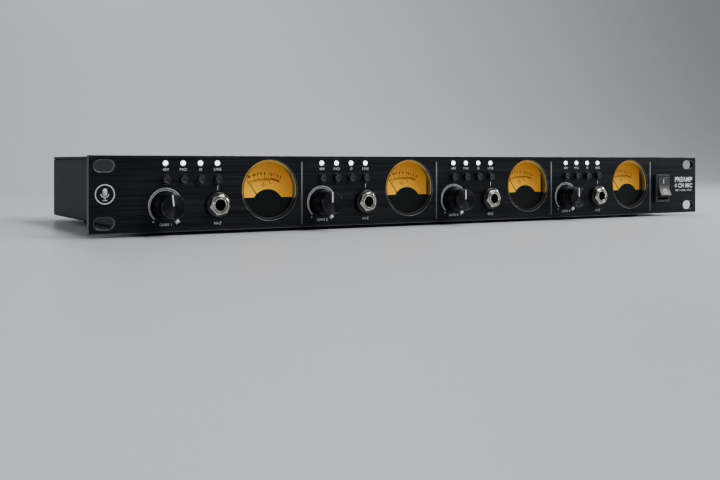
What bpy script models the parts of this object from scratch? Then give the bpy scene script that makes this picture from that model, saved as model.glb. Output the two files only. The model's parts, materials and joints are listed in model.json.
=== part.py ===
"""A four-channel microphone preamp for a 19-inch rack, one rack unit high.

Everything is placed from the "bench frame": x runs from the front panel's left end, y is the depth behind
the panel's front face, and z is the height above the surface that the feet stand on. An empty carries that
frame to the model's own origin: the middle of the bounding box, at the height of that surface.
"""

from math import cos, pi, radians, sin, sqrt

import bmesh
import bpy
from mathutils import Matrix, Vector

MM = 0.001
GAP = 0.3 * MM  # between pieces that meet
BITE = 0.5 * MM  # how far shapes that become one piece run into each other
SHARP_ANGLE = radians(35)

# The rack panel: the 19-inch standard gives its width, its height and the pitch of its slots.
PANEL_WIDTH = 482.6 * MM
PANEL_HEIGHT = 43.7 * MM
PANEL_THICKNESS = 3.2 * MM
PANEL_REBATE = 0.3 * MM  # milled off the back, where the chassis seats
PANEL_BASE = 2.1 * MM
SLOT_PITCH_X = 465.1 * MM
SLOT_PITCH_Z = 31.75 * MM
SLOT_LENGTH = 11.4 * MM
SLOT_HEIGHT = 6.7 * MM

# The chassis behind it.
EAR_WIDTH = 24.2 * MM
CHASSIS_DEPTH = 187.0 * MM
SHEET = 1.2 * MM
FOOT_HEIGHT = 3.4 * MM
SIDE_TOP = 43.7 * MM
FRONT_FLANGE = 4.5 * MM
LID_BASE = 44.2 * MM
LID_THICKNESS = 1.4 * MM
LID_LIP = 7.0 * MM

# The front panel's layout.
CHANNELS = 4
CHANNEL_PITCH = 100.4 * MM
LED_X = 43.7 * MM  # first lamp of the first channel, which is above its knob
LED_PITCH = 10.47 * MM
LED_Z = 41.3 * MM
LED_RADIUS = 1.5 * MM
BUTTON_Z = 32.0 * MM
BUTTON_RADIUS = 2.35 * MM
BUTTON_REACH = 2.5 * MM
BUTTON_TRAVEL = 1.2 * MM
BUTTON_NAMES = ("48v", "pad", "phase", "line")
CONTROL_Z = 17.0 * MM  # the knobs and the jacks share this height
METER_X = 108.8 * MM
METER_Z = 25.1 * MM
METER_WINDOW_RADIUS = 18.1 * MM
ROCKER_X = 443.2 * MM
ROCKER_Z = 21.6 * MM

# Knobs.
KNOB_RADIUS = 7.75 * MM
KNOB_REACH = 14.0 * MM
KNOB_CLEARANCE = 1.0 * MM
KNOB_ANGLES = (-7, 0, 0, 0)  # degrees clockwise from twelve o'clock, as the knobs are set
SHAFT_RADIUS = 3.0 * MM
SHAFT_END = 19.5 * MM
POT_BUSHING_RADIUS = 4.1 * MM
POT_BUSHING_REACH = 3.4 * MM
POT_RADIUS = 8.2 * MM
POT_FRONT = 13.0 * MM

# Jacks.
JACK_BORE_RADIUS = 3.2 * MM
JACK_BUSHING_RADIUS = 4.4 * MM
JACK_REACH = 4.8 * MM
JACK_BODY = 14.4 * MM
JACK_BODY_END = 28.0 * MM
JACK_BORE_END = 26.0 * MM
WASHER_RADIUS = 7.4 * MM
WASHER_FRONT = 2.4 * MM
NUT_FRONT = 4.4 * MM
NUT_FLATS = 11.0 * MM
NUT_TURN = 17.0  # degrees from upright to its first corner, as it was tightened

# Meters.
METER_WIDTH = 42.0 * MM
METER_HEIGHT = 37.4 * MM
METER_WALL = 1.2 * MM
METER_COVER_END = 9.5 * MM
METER_DIAL_FRONT = 9.8 * MM
METER_DIAL_BACK = 10.6 * MM
METER_CASE_FRONT = 10.9 * MM
METER_CASE_BACK = 23.2 * MM
MASK_DROP = 4.6 * MM  # the mask's straight edge, below the window's middle
MASK_THICKNESS = 0.8 * MM
HUMP_RADIUS = 10.7 * MM
HUMP_RISE = 5.1 * MM
PIVOT_DROP = 10.2 * MM  # the needle's axis, below the window's middle
NEEDLE_LENGTH = 20.0 * MM
NEEDLE_REST = -36.0  # degrees from upright, at the left-hand stop
NEEDLE_FRONT = 7.5 * MM
STAFF_RADIUS = 0.8 * MM
STAFF_END = 21.0 * MM
COIL_RADIUS = 4.2 * MM

# Boards behind the panel.
BOARD = 1.6 * MM
CONTROL_BOARD_FRONT = 24.0 * MM
CONTROL_BOARD_LEFT = 30.0 * MM
CONTROL_BOARD_RIGHT = 433.0 * MM
CONTROL_BOARD_BASE = 6.5 * MM
CONTROL_BOARD_TOP = 43.0 * MM
SWITCH_SIZE = 6.0 * MM
SWITCH_FRONT = 21.0 * MM
PLUNGER_FRONT = 20.4 * MM
MAIN_BOARD_LEFT = 34.0 * MM
MAIN_BOARD_RIGHT = 408.0 * MM
MAIN_BOARD_FRONT = 96.0 * MM
MAIN_BOARD_BACK = 181.0 * MM
MAIN_BOARD_BASE = 10.6 * MM

# The rear connectors.
XLR_PITCH = 46.0 * MM
XLR_FIRST_X = 60.0 * MM
XLR_Z = 24.0 * MM
XLR_BARREL_RADIUS = 11.6 * MM
XLR_REACH = 1.5 * MM
XLR_CUP_RADIUS = 8.3 * MM
XLR_CUP_DEPTH = 13.0 * MM
XLR_PIN_RING = 3.6 * MM
XLR_PIN_RADIUS = 1.2 * MM
INLET_X = 432.0 * MM
INLET_Z = 24.0 * MM
INLET_BODY = (27.0 * MM, 20.0 * MM)
INLET_FLANGE = (40.0 * MM, 25.0 * MM)
INLET_CAVITY = (23.4 * MM, 15.4 * MM)
INLET_FLANGE_THICKNESS = 2.0 * MM
REAR_REACH = GAP + INLET_FLANGE_THICKNESS

# The power switch.
BEZEL = (14.8 * MM, 21.2 * MM)
BEZEL_THICKNESS = 2.0 * MM
SWITCH_BODY = (13.2 * MM, 18.8 * MM)
SWITCH_BODY_END = 16.0 * MM
SWITCH_WELL = (11.8 * MM, 17.8 * MM)
SWITCH_WELL_END = 8.0 * MM
ROCKER_PIVOT = 2.2 * MM
ROCKER_WIDTH = 11.2 * MM
ROCKER_TILT = 13.0  # degrees each way; its upper half is pressed in at rest

TOTAL_DEPTH = KNOB_REACH + CHASSIS_DEPTH + REAR_REACH
BENCH_TO_MODEL = Vector((-PANEL_WIDTH / 2, KNOB_REACH - TOTAL_DEPTH / 2, 0))
PANEL_BACK = PANEL_THICKNESS - PANEL_REBATE
PANEL_TOP = PANEL_BASE + PANEL_HEIGHT
CHASSIS_LEFT = EAR_WIDTH
CHASSIS_RIGHT = PANEL_WIDTH - EAR_WIDTH
FLOOR_TOP = FOOT_HEIGHT + SHEET


def clear_scene():
    for obj in list(bpy.data.objects):
        bpy.data.objects.remove(obj, do_unlink=True)


def material(name, colour, roughness, metallic=0.0, alpha=1.0):
    made = bpy.data.materials.new(name)
    made.use_nodes = True
    shader = made.node_tree.nodes["Principled BSDF"]
    shader.inputs["Base Color"].default_value = (*colour, 1.0)
    shader.inputs["Roughness"].default_value = roughness
    shader.inputs["Metallic"].default_value = metallic
    shader.inputs["Alpha"].default_value = alpha
    return made


def make_materials():
    return {
        "panel": material("black_anodised_aluminium", (0.012, 0.013, 0.016), 0.38, 0.8),
        "steel": material("black_painted_steel", (0.03, 0.03, 0.028), 0.55, 0.2),
        "knob": material("black_turned_aluminium", (0.015, 0.015, 0.017), 0.3, 0.9),
        "plastic": material("black_plastic", (0.012, 0.012, 0.012), 0.45),
        "lamp": material("white_lamp", (0.9, 0.93, 1.0), 0.3),
        "nickel": material("nickel_plate", (0.62, 0.58, 0.5), 0.25, 1.0),
        "dial": material("amber_dial", (0.85, 0.48, 0.06), 0.6),
        "clear": material("clear_acrylic", (0.95, 0.95, 0.95), 0.05, 0.0, 0.3),
        "needle": material("needle_red", (0.3, 0.03, 0.01), 0.5),
        "board": material("circuit_board", (0.01, 0.05, 0.025), 0.5),
        "rubber": material("black_rubber", (0.015, 0.015, 0.015), 0.85),
    }


# Shapes. Each of these adds one closed body to a bmesh.


def box(bm, low, high):
    low, high = Vector(low), Vector(high)
    place = Matrix.Translation((low + high) / 2) @ Matrix.Diagonal((*(high - low), 1.0))
    bmesh.ops.create_cube(bm, size=1.0, matrix=place)


def block(bm, x, z, size, front, back):
    """A box centred on (x, z), of size (width, height), from one depth to another."""
    width, height = size
    box(bm, (x - width / 2, front, z - height / 2), (x + width / 2, back, z + height / 2))


def rod(bm, x, z, radius, front, back, segments):
    """A round bar along y."""
    place = Matrix.Translation((x, (front + back) / 2, z)) @ Matrix.Rotation(pi / 2, 4, "X")
    ends = {"radius1": radius, "radius2": radius}
    bmesh.ops.create_cone(bm, cap_ends=True, segments=segments, depth=back - front, matrix=place, **ends)


def bore(bm, x, z, radius, front, back, segments):
    """A rod whose flats lie at the radius, to cut a hole that a round piece of that radius fills."""
    rod(bm, x, z, radius / cos(pi / segments), front, back, segments)


def post(bm, x, y, radius, base, top, segments):
    """A round bar along z."""
    place = Matrix.Translation((x, y, (base + top) / 2))
    ends = {"radius1": radius, "radius2": radius}
    bmesh.ops.create_cone(bm, cap_ends=True, segments=segments, depth=top - base, matrix=place, **ends)


def prism(bm, outline, start, end, axis):
    """An outline in the plane across the axis, extruded along it. Its pairs keep x, y, z order."""
    index = "xyz".index(axis)

    def place(pair, along):
        point = list(pair)
        point.insert(index, along)
        return point

    face = bm.faces.new([bm.verts.new(place(pair, start)) for pair in outline])
    made = bmesh.ops.extrude_face_region(bm, geom=[face])
    far = [part for part in made["geom"] if isinstance(part, bmesh.types.BMVert)]
    step = Vector((0, 0, 0))
    step[index] = end - start
    bmesh.ops.translate(bm, verts=far, vec=step)


def turned(bm, profile, segments):
    """A solid of revolution about y. The profile is (radius, y) pairs from one pole to the other."""
    rings = []
    for radius, y in profile:
        if radius == 0:
            rings.append([bm.verts.new((0, y, 0))])
            continue
        turns = [2 * pi * i / segments for i in range(segments)]
        rings.append([bm.verts.new((radius * sin(a), y, radius * cos(a))) for a in turns])
    for near, far in zip(rings, rings[1:]):
        for i in range(segments):
            corners = [near[i % len(near)], near[(i + 1) % len(near)]]
            corners += [far[(i + 1) % len(far)], far[i % len(far)]]
            bm.faces.new(list(dict.fromkeys(corners)))


def arc(x, z, radius, first, last, steps):
    """Points on a circle, with angles in degrees from +z towards +x."""
    turns = [radians(first + (last - first) * i / steps) for i in range(steps + 1)]
    return [(x + radius * sin(a), z + radius * cos(a)) for a in turns]


# Objects.


def make(name, bm, finish, bench, location=(0, 0, 0)):
    """Turns a bmesh into a named object in the bench frame."""
    bmesh.ops.recalc_face_normals(bm, faces=bm.faces)
    mesh = bpy.data.meshes.new(name)
    bm.to_mesh(mesh)
    bm.free()
    mesh.shade_smooth()
    mesh.set_sharp_from_angle(angle=SHARP_ANGLE)
    mesh.materials.append(finish)
    obj = bpy.data.objects.new(name, mesh)
    bpy.context.scene.collection.objects.link(obj)
    obj.parent = bench
    obj.location = location
    return obj


def combine(target, bm, operation):
    """Cuts or joins a bmesh, given in the target's own frame, with a Boolean modifier."""
    count = len(target.modifiers)
    tool = make(f"tool_{target.name}_{count}", bm, target.data.materials[0], target)
    tool.hide_render = True
    tool.display_type = "WIRE"
    modifier = target.modifiers.new(operation.lower(), "BOOLEAN")
    modifier.operation = operation
    modifier.solver = "EXACT"
    modifier.object = tool


def slot_outline(x, z):
    """A round-ended rack slot."""
    half = (SLOT_LENGTH - SLOT_HEIGHT) / 2
    right = arc(x + half, z, SLOT_HEIGHT / 2, 0, 180, 7)
    left = arc(x - half, z, SLOT_HEIGHT / 2, 180, 360, 7)
    return right + left


def channel_x(channel):
    return (channel - 1) * CHANNEL_PITCH


def front_panel(materials, bench):
    """The milled panel: two ears with slots, and a hole for everything that comes through it."""
    bm = bmesh.new()
    seat_left, seat_right = EAR_WIDTH - GAP, PANEL_WIDTH - EAR_WIDTH + GAP
    outline = [(0, 0), (PANEL_WIDTH, 0), (PANEL_WIDTH, PANEL_THICKNESS), (seat_right, PANEL_THICKNESS)]
    outline += [(seat_right, PANEL_BACK), (seat_left, PANEL_BACK)]
    outline += [(seat_left, PANEL_THICKNESS), (0, PANEL_THICKNESS)]
    prism(bm, outline, PANEL_BASE, PANEL_TOP, "z")
    panel = make("front_panel", bm, materials["panel"], bench)

    holes = bmesh.new()
    front, back = -1 * MM, PANEL_THICKNESS + 1 * MM
    for side in (-1, 1):
        for level in (-1, 1):
            x = PANEL_WIDTH / 2 + side * SLOT_PITCH_X / 2
            z = PANEL_BASE + PANEL_HEIGHT / 2 + level * SLOT_PITCH_Z / 2
            prism(holes, slot_outline(x, z), front, back, "y")
    for channel in range(1, CHANNELS + 1):
        left = channel_x(channel)
        for i in range(len(BUTTON_NAMES)):
            x = left + LED_X + i * LED_PITCH
            bore(holes, x, LED_Z, LED_RADIUS + GAP, front, back, 8)
            bore(holes, x, BUTTON_Z, BUTTON_RADIUS + GAP, front, back, 10)
        bore(holes, left + LED_X, CONTROL_Z, POT_BUSHING_RADIUS + GAP, front, back, 12)
        bore(holes, left + LED_X + 3 * LED_PITCH, CONTROL_Z, JACK_BUSHING_RADIUS + GAP, front, back, 12)
        rod(holes, left + METER_X, METER_Z, METER_WINDOW_RADIUS, front, back, 40)
    cutout = (SWITCH_BODY[0] + 2 * GAP, SWITCH_BODY[1] + 2 * GAP)
    block(holes, ROCKER_X, ROCKER_Z, cutout, front, back)
    combine(panel, holes, "DIFFERENCE")


def xlr_x(i):
    return XLR_FIRST_X + i * XLR_PITCH


def chassis(materials, bench):
    """A folded steel tray: floor, two sides, a rear wall, and two flanges that the panel screws to."""
    front = PANEL_THICKNESS
    bm = bmesh.new()
    box(bm, (CHASSIS_LEFT, front, FOOT_HEIGHT), (CHASSIS_RIGHT, CHASSIS_DEPTH, SIDE_TOP))
    tray = make("chassis", bm, materials["steel"], bench)

    hollow = bmesh.new()
    inner_left, inner_right = CHASSIS_LEFT + SHEET, CHASSIS_RIGHT - SHEET
    over = SIDE_TOP + 5 * MM
    inner_back = CHASSIS_DEPTH - SHEET
    mouth_left, mouth_right = CHASSIS_LEFT + FRONT_FLANGE, CHASSIS_RIGHT - FRONT_FLANGE
    plan = [(mouth_left, front - 1 * MM), (mouth_right, front - 1 * MM), (mouth_right, front + SHEET)]
    plan += [(inner_right, front + SHEET), (inner_right, inner_back), (inner_left, inner_back)]
    plan += [(inner_left, front + SHEET), (mouth_left, front + SHEET)]
    prism(hollow, plan, FLOOR_TOP, over, "z")
    combine(tray, hollow, "DIFFERENCE")

    openings = bmesh.new()
    wall = (inner_back - 1 * MM, CHASSIS_DEPTH + 1 * MM)
    for i in range(2 * CHANNELS):
        bore(openings, xlr_x(i), XLR_Z, XLR_BARREL_RADIUS + GAP, *wall, 16)
    block(openings, INLET_X, INLET_Z, (INLET_BODY[0] + 2 * GAP, INLET_BODY[1] + 2 * GAP), *wall)
    combine(tray, openings, "DIFFERENCE")

    posts = bmesh.new()
    board_centre = (MAIN_BOARD_LEFT + MAIN_BOARD_RIGHT) / 2
    for x in (MAIN_BOARD_LEFT + 8 * MM, board_centre, MAIN_BOARD_RIGHT - 8 * MM):
        for y in (MAIN_BOARD_FRONT + 6 * MM, MAIN_BOARD_BACK - 24 * MM):
            post(posts, x, y, 3 * MM, FLOOR_TOP - BITE, MAIN_BOARD_BASE - GAP, 8)
    combine(tray, posts, "UNION")


def top_cover(materials, bench):
    """The lid: a flat sheet that lies over the side walls, with lips that drop inside them."""
    bm = bmesh.new()
    lid_top = LID_BASE + LID_THICKNESS
    lip_base = LID_BASE - LID_LIP
    lip_out = CHASSIS_LEFT + SHEET + GAP
    lip_in = lip_out + SHEET
    left = [(lip_in, lip_base), (lip_out, lip_base), (lip_out, LID_BASE), (CHASSIS_LEFT, LID_BASE)]
    left += [(CHASSIS_LEFT, lid_top)]
    right = [(PANEL_WIDTH - x, z) for x, z in reversed(left)]
    between = [(PANEL_WIDTH - lip_in, LID_BASE), (lip_in, LID_BASE)]
    prism(bm, left + right + between, PANEL_THICKNESS, CHASSIS_DEPTH, "y")
    lid = make("top_cover", bm, materials["steel"], bench)

    trims = bmesh.new()
    for x in (lip_out, PANEL_WIDTH - lip_out):
        rear_end = (CHASSIS_DEPTH - SHEET - GAP, CHASSIS_DEPTH + 1 * MM)
        for y0, y1 in ((0, PANEL_THICKNESS + 4 * MM), rear_end):
            box(trims, (x - 3 * MM, y0, lip_base - 1 * MM), (x + 3 * MM, y1, LID_BASE))
    vent_length, vent_width, vent_pitch, vents = 34 * MM, 2.5 * MM, 9 * MM, 6
    for bank in (0.3, 0.7):
        for i in range(vents):
            x = bank * PANEL_WIDTH + (i - (vents - 1) / 2) * vent_pitch
            y = 0.62 * CHASSIS_DEPTH
            low = (x - vent_width / 2, y - vent_length / 2, LID_BASE - 1 * MM)
            box(trims, low, (x + vent_width / 2, y + vent_length / 2, lid_top + 1 * MM))
    combine(lid, trims, "DIFFERENCE")


def feet(materials, bench):
    """Four round rubber feet under the chassis floor."""
    inset_x, front_y, rear_y = 22 * MM, 27 * MM, 163 * MM
    places = {
        "foot_front_left": (CHASSIS_LEFT + inset_x, front_y),
        "foot_front_right": (CHASSIS_RIGHT - inset_x, front_y),
        "foot_rear_left": (CHASSIS_LEFT + inset_x, rear_y),
        "foot_rear_right": (CHASSIS_RIGHT - inset_x, rear_y),
    }
    for name, (x, y) in places.items():
        bm = bmesh.new()
        top = FOOT_HEIGHT - GAP
        radius, shoulder = 7 * MM, 6.2 * MM
        turned(bm, [(0, 0), (shoulder, 0), (radius, 0.8 * MM), (radius, top), (0, top)], 16)
        bmesh.ops.rotate(bm, verts=bm.verts, matrix=Matrix.Rotation(pi / 2, 3, "X"))
        make(name, bm, materials["rubber"], bench, (x, y, 0))


def light_guide(channel, materials, bench):
    """A moulded strip behind the panel whose four rods carry lamp light to the panel's face."""
    strip_front, strip_back = 21 * MM, CONTROL_BOARD_FRONT - GAP
    dome, margin, height = 0.9 * MM, 2.4 * MM, 3.2 * MM
    bm = bmesh.new()
    span = (len(BUTTON_NAMES) - 1) * LED_PITCH
    box(bm, (-margin, strip_front, -height / 2), (span + margin, strip_back, height / 2))
    place = (channel_x(channel) + LED_X, 0, LED_Z)
    guide = make(f"light_guide_{channel}", bm, materials["lamp"], bench, place)

    rods = bmesh.new()
    profile = [(0, -dome), (0.62 * LED_RADIUS, -0.75 * dome), (LED_RADIUS, 0)]
    profile += [(LED_RADIUS, strip_front + BITE), (0, strip_front + BITE)]
    for i in range(len(BUTTON_NAMES)):
        one = bmesh.new()
        turned(one, profile, 8)
        bmesh.ops.translate(one, verts=one.verts, vec=(i * LED_PITCH, 0, 0))
        lump = bpy.data.meshes.new("rod")
        one.to_mesh(lump)
        one.free()
        rods.from_mesh(lump)
        bpy.data.meshes.remove(lump)
    combine(guide, rods, "UNION")


def buttons(channel, materials, bench):
    """Four push buttons: a round cap, a flange that keeps it in, and a stem that reaches its switch."""
    flange_radius, flange = 3.0 * MM, 1.0 * MM
    flange_front = PANEL_BACK + GAP
    stem_radius = 1.3 * MM
    stem_end = PLUNGER_FRONT - BUTTON_TRAVEL - GAP
    profile = [(0, -BUTTON_REACH), (BUTTON_RADIUS, -BUTTON_REACH), (BUTTON_RADIUS, flange_front)]
    profile += [(flange_radius, flange_front), (flange_radius, flange_front + flange)]
    profile += [(stem_radius, flange_front + flange), (stem_radius, stem_end), (0, stem_end)]
    for i, name in enumerate(BUTTON_NAMES):
        bm = bmesh.new()
        turned(bm, profile, 10)
        place = (channel_x(channel) + LED_X + i * LED_PITCH, 0, BUTTON_Z)
        make(f"button_{channel}_{name}", bm, materials["plastic"], bench, place)


def gain_knob(channel, materials, bench):
    """A turned knob on the potentiometer's shaft, with a slot in its face for the pointer line."""
    bevel, skirt, pocket = 0.55 * MM, 6.2 * MM, POT_BUSHING_REACH + GAP
    profile = [(0, -KNOB_REACH), (KNOB_RADIUS - bevel, -KNOB_REACH), (KNOB_RADIUS, -KNOB_REACH + bevel)]
    profile += [(KNOB_RADIUS, -KNOB_CLEARANCE), (skirt, -KNOB_CLEARANCE), (skirt, -pocket - 1 * MM)]
    profile += [(SHAFT_RADIUS, -pocket - 1 * MM), (SHAFT_RADIUS, SHAFT_END), (0, SHAFT_END)]
    bm = bmesh.new()
    turned(bm, profile, 24)
    place = (channel_x(channel) + LED_X, 0, CONTROL_Z)
    knob = make(f"gain_knob_{channel}", bm, materials["knob"], bench, place)
    knob.rotation_euler.y = radians(KNOB_ANGLES[channel - 1])

    groove = bmesh.new()
    width, depth = 0.9 * MM, 0.3 * MM
    far_corner = (width / 2, -KNOB_REACH + depth, KNOB_RADIUS + 1 * MM)
    box(groove, (-width / 2, -KNOB_REACH - 1 * MM, 0.2 * MM), far_corner)
    combine(knob, groove, "DIFFERENCE")


def hi_z_jack(channel, materials, bench):
    """A quarter-inch jack: a square body behind the panel and a threaded bushing through it."""
    place = (channel_x(channel) + LED_X + 3 * LED_PITCH, 0, CONTROL_Z)
    bm = bmesh.new()
    block(bm, 0, 0, (JACK_BODY, JACK_BODY), PANEL_BACK + GAP, JACK_BODY_END)
    jack = make(f"hi_z_jack_{channel}", bm, materials["plastic"], bench, place)
    bushing = bmesh.new()
    rod(bushing, 0, 0, JACK_BUSHING_RADIUS, -JACK_REACH, PANEL_BACK + GAP + BITE, 16)
    combine(jack, bushing, "UNION")
    hole = bmesh.new()
    bore(hole, 0, 0, JACK_BORE_RADIUS, -JACK_REACH - 1 * MM, JACK_BORE_END, 12)
    combine(jack, hole, "DIFFERENCE")


def jack_nut(channel, materials, bench):
    """The jack's hex nut and the dress washer under it."""
    place = (channel_x(channel) + LED_X + 3 * LED_PITCH, 0, CONTROL_Z)
    bm = bmesh.new()
    chamfer = 0.5 * MM
    profile = [(0, -WASHER_FRONT), (WASHER_RADIUS - chamfer, -WASHER_FRONT)]
    profile.append((WASHER_RADIUS, -WASHER_FRONT + chamfer))
    turned(bm, profile + [(WASHER_RADIUS, -GAP), (0, -GAP)], 20)
    nut = make(f"jack_nut_{channel}", bm, materials["nickel"], bench, place)
    hexagon = bmesh.new()
    prism(hexagon, arc(0, 0, NUT_FLATS / sqrt(3), NUT_TURN, NUT_TURN + 300, 5), -NUT_FRONT, -WASHER_FRONT + BITE, "y")
    combine(nut, hexagon, "UNION")
    hole = bmesh.new()
    bore(hole, 0, 0, JACK_BUSHING_RADIUS + GAP, -NUT_FRONT - 1 * MM, 1 * MM, 16)
    combine(nut, hole, "DIFFERENCE")


def mask_outline():
    """The black mask that hides the movement: a straight edge with a round hump in its middle."""
    half = METER_WIDTH / 2 - METER_WALL / 2
    base = -METER_HEIGHT / 2 + METER_WALL / 2
    centre = -MASK_DROP + HUMP_RISE - HUMP_RADIUS
    chord = sqrt(HUMP_RADIUS**2 - (HUMP_RADIUS - HUMP_RISE) ** 2)
    half_turn = arc(0, centre, HUMP_RADIUS, -90, 90, 18)
    hump = [(x, z) for x, z in half_turn if abs(x) < chord and z > -MASK_DROP]
    return [(-half, base), (-half, -MASK_DROP)] + [(-chord, -MASK_DROP)] + hump + [
        (chord, -MASK_DROP),
        (half, -MASK_DROP),
        (half, base),
    ]


def meter_cover(channel, materials, bench):
    """The clear front shell of the meter, with the mask on the inside of its face."""
    place = (channel_x(channel) + METER_X, 0, METER_Z)
    front = PANEL_BACK + GAP
    face_back = front + METER_WALL
    bm = bmesh.new()
    block(bm, 0, 0, (METER_WIDTH, METER_HEIGHT), front, METER_COVER_END)
    cover = make(f"meter_cover_{channel}", bm, materials["clear"], bench, place)
    hollow = bmesh.new()
    inside = (METER_WIDTH - 2 * METER_WALL, METER_HEIGHT - 2 * METER_WALL)
    block(hollow, 0, 0, inside, face_back, METER_COVER_END + 1 * MM)
    combine(cover, hollow, "DIFFERENCE")
    mask = bmesh.new()
    prism(mask, mask_outline(), face_back - BITE, face_back + MASK_THICKNESS, "y")
    combine(cover, mask, "UNION")


def meter_dial(channel, materials, bench):
    """The dial plate, held between the cover and the case, with a hole for the needle's staff."""
    place = (channel_x(channel) + METER_X, 0, METER_Z)
    bm = bmesh.new()
    block(bm, 0, 0, (METER_WIDTH - 2 * GAP, METER_HEIGHT - 2 * GAP), METER_DIAL_FRONT, METER_DIAL_BACK)
    dial = make(f"meter_dial_{channel}", bm, materials["dial"], bench, place)
    hole = bmesh.new()
    front, back = METER_DIAL_FRONT - 1 * MM, METER_DIAL_BACK + 1 * MM
    bore(hole, 0, -PIVOT_DROP, STAFF_RADIUS + 2 * GAP, front, back, 8)
    combine(dial, hole, "DIFFERENCE")


def meter_case(channel, materials, bench):
    """The meter's rear shell, which holds the magnet and the bearing that the needle's staff turns in."""
    place = (channel_x(channel) + METER_X, 0, METER_Z)
    floor = METER_CASE_BACK - METER_WALL
    bm = bmesh.new()
    block(bm, 0, 0, (METER_WIDTH, METER_HEIGHT), METER_CASE_FRONT, METER_CASE_BACK)
    case = make(f"meter_case_{channel}", bm, materials["plastic"], bench, place)
    hollow = bmesh.new()
    inside = (METER_WIDTH - 2 * METER_WALL, METER_HEIGHT - 2 * METER_WALL)
    block(hollow, 0, 0, inside, METER_CASE_FRONT - 1 * MM, floor)
    combine(case, hollow, "DIFFERENCE")
    bearing = bmesh.new()
    bearing_front = floor - 4 * MM
    rod(bearing, 0, -PIVOT_DROP, 3 * MM, bearing_front, floor + BITE, 10)
    combine(case, bearing, "UNION")
    hole = bmesh.new()
    bore(hole, 0, -PIVOT_DROP, STAFF_RADIUS + GAP, bearing_front - 1 * MM, STAFF_END + GAP, 8)
    combine(case, hole, "DIFFERENCE")


def meter_needle(channel, materials, bench):
    """The needle on its staff, with the moving coil behind the dial and a balance tail."""
    thickness, root, tip, tail = 0.4 * MM, 0.5 * MM, 0.22 * MM, 4.5 * MM
    hub_radius, hub_back = 1.8 * MM, 8.7 * MM
    coil_front, coil_back = 11.6 * MM, 17 * MM
    bm = bmesh.new()
    profile = [(0, NEEDLE_FRONT - 0.3 * MM), (hub_radius, NEEDLE_FRONT - 0.3 * MM), (hub_radius, hub_back)]
    profile += [(STAFF_RADIUS, hub_back), (STAFF_RADIUS, coil_front), (COIL_RADIUS, coil_front)]
    profile += [(COIL_RADIUS, coil_back), (STAFF_RADIUS, coil_back)]
    profile += [(STAFF_RADIUS, STAFF_END), (0, STAFF_END)]
    turned(bm, profile, 8)
    place = (channel_x(channel) + METER_X, 0, METER_Z - PIVOT_DROP)
    needle = make(f"meter_needle_{channel}", bm, materials["needle"], bench, place)
    needle.rotation_euler.y = radians(NEEDLE_REST)
    arm = bmesh.new()
    outline = [(-root, -tail), (root, -tail), (tip, NEEDLE_LENGTH), (-tip, NEEDLE_LENGTH)]
    prism(arm, outline, NEEDLE_FRONT, NEEDLE_FRONT + thickness, "y")
    combine(needle, arm, "UNION")


def control_board(materials, bench):
    """The upright board behind the panel, with its soldered potentiometers and button switches."""
    bm = bmesh.new()
    board_back = CONTROL_BOARD_FRONT + BOARD
    low = (CONTROL_BOARD_LEFT, CONTROL_BOARD_FRONT, CONTROL_BOARD_BASE)
    box(bm, low, (CONTROL_BOARD_RIGHT, board_back, CONTROL_BOARD_TOP))
    board = make("control_board", bm, materials["board"], bench)

    parts, cuts = bmesh.new(), bmesh.new()
    for channel in range(1, CHANNELS + 1):
        x = channel_x(channel) + LED_X
        rod(parts, x, CONTROL_Z, POT_RADIUS, POT_FRONT, CONTROL_BOARD_FRONT + BITE, 12)
        bore(cuts, x, CONTROL_Z, SHAFT_RADIUS + GAP, -POT_BUSHING_REACH - 1 * MM, SHAFT_END + GAP, 12)
        jack = JACK_BODY + 4 * GAP
        front, back = CONTROL_BOARD_FRONT - 1 * MM, board_back + 1 * MM
        block(cuts, x + 3 * LED_PITCH, CONTROL_Z, (jack, jack), front, back)
        for i in range(len(BUTTON_NAMES)):
            size = (SWITCH_SIZE, SWITCH_SIZE)
            block(parts, x + i * LED_PITCH, BUTTON_Z, size, SWITCH_FRONT, CONTROL_BOARD_FRONT + BITE)
    combine(board, parts, "UNION")
    stubs = bmesh.new()
    for channel in range(1, CHANNELS + 1):
        x = channel_x(channel) + LED_X
        rod(stubs, x, CONTROL_Z, POT_BUSHING_RADIUS, -POT_BUSHING_REACH, POT_FRONT + BITE, 12)
        for i in range(len(BUTTON_NAMES)):
            block(stubs, x + i * LED_PITCH, BUTTON_Z, (2 * MM, 2 * MM), PLUNGER_FRONT, SWITCH_FRONT + BITE)
    combine(board, stubs, "UNION")
    combine(board, cuts, "DIFFERENCE")


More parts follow.
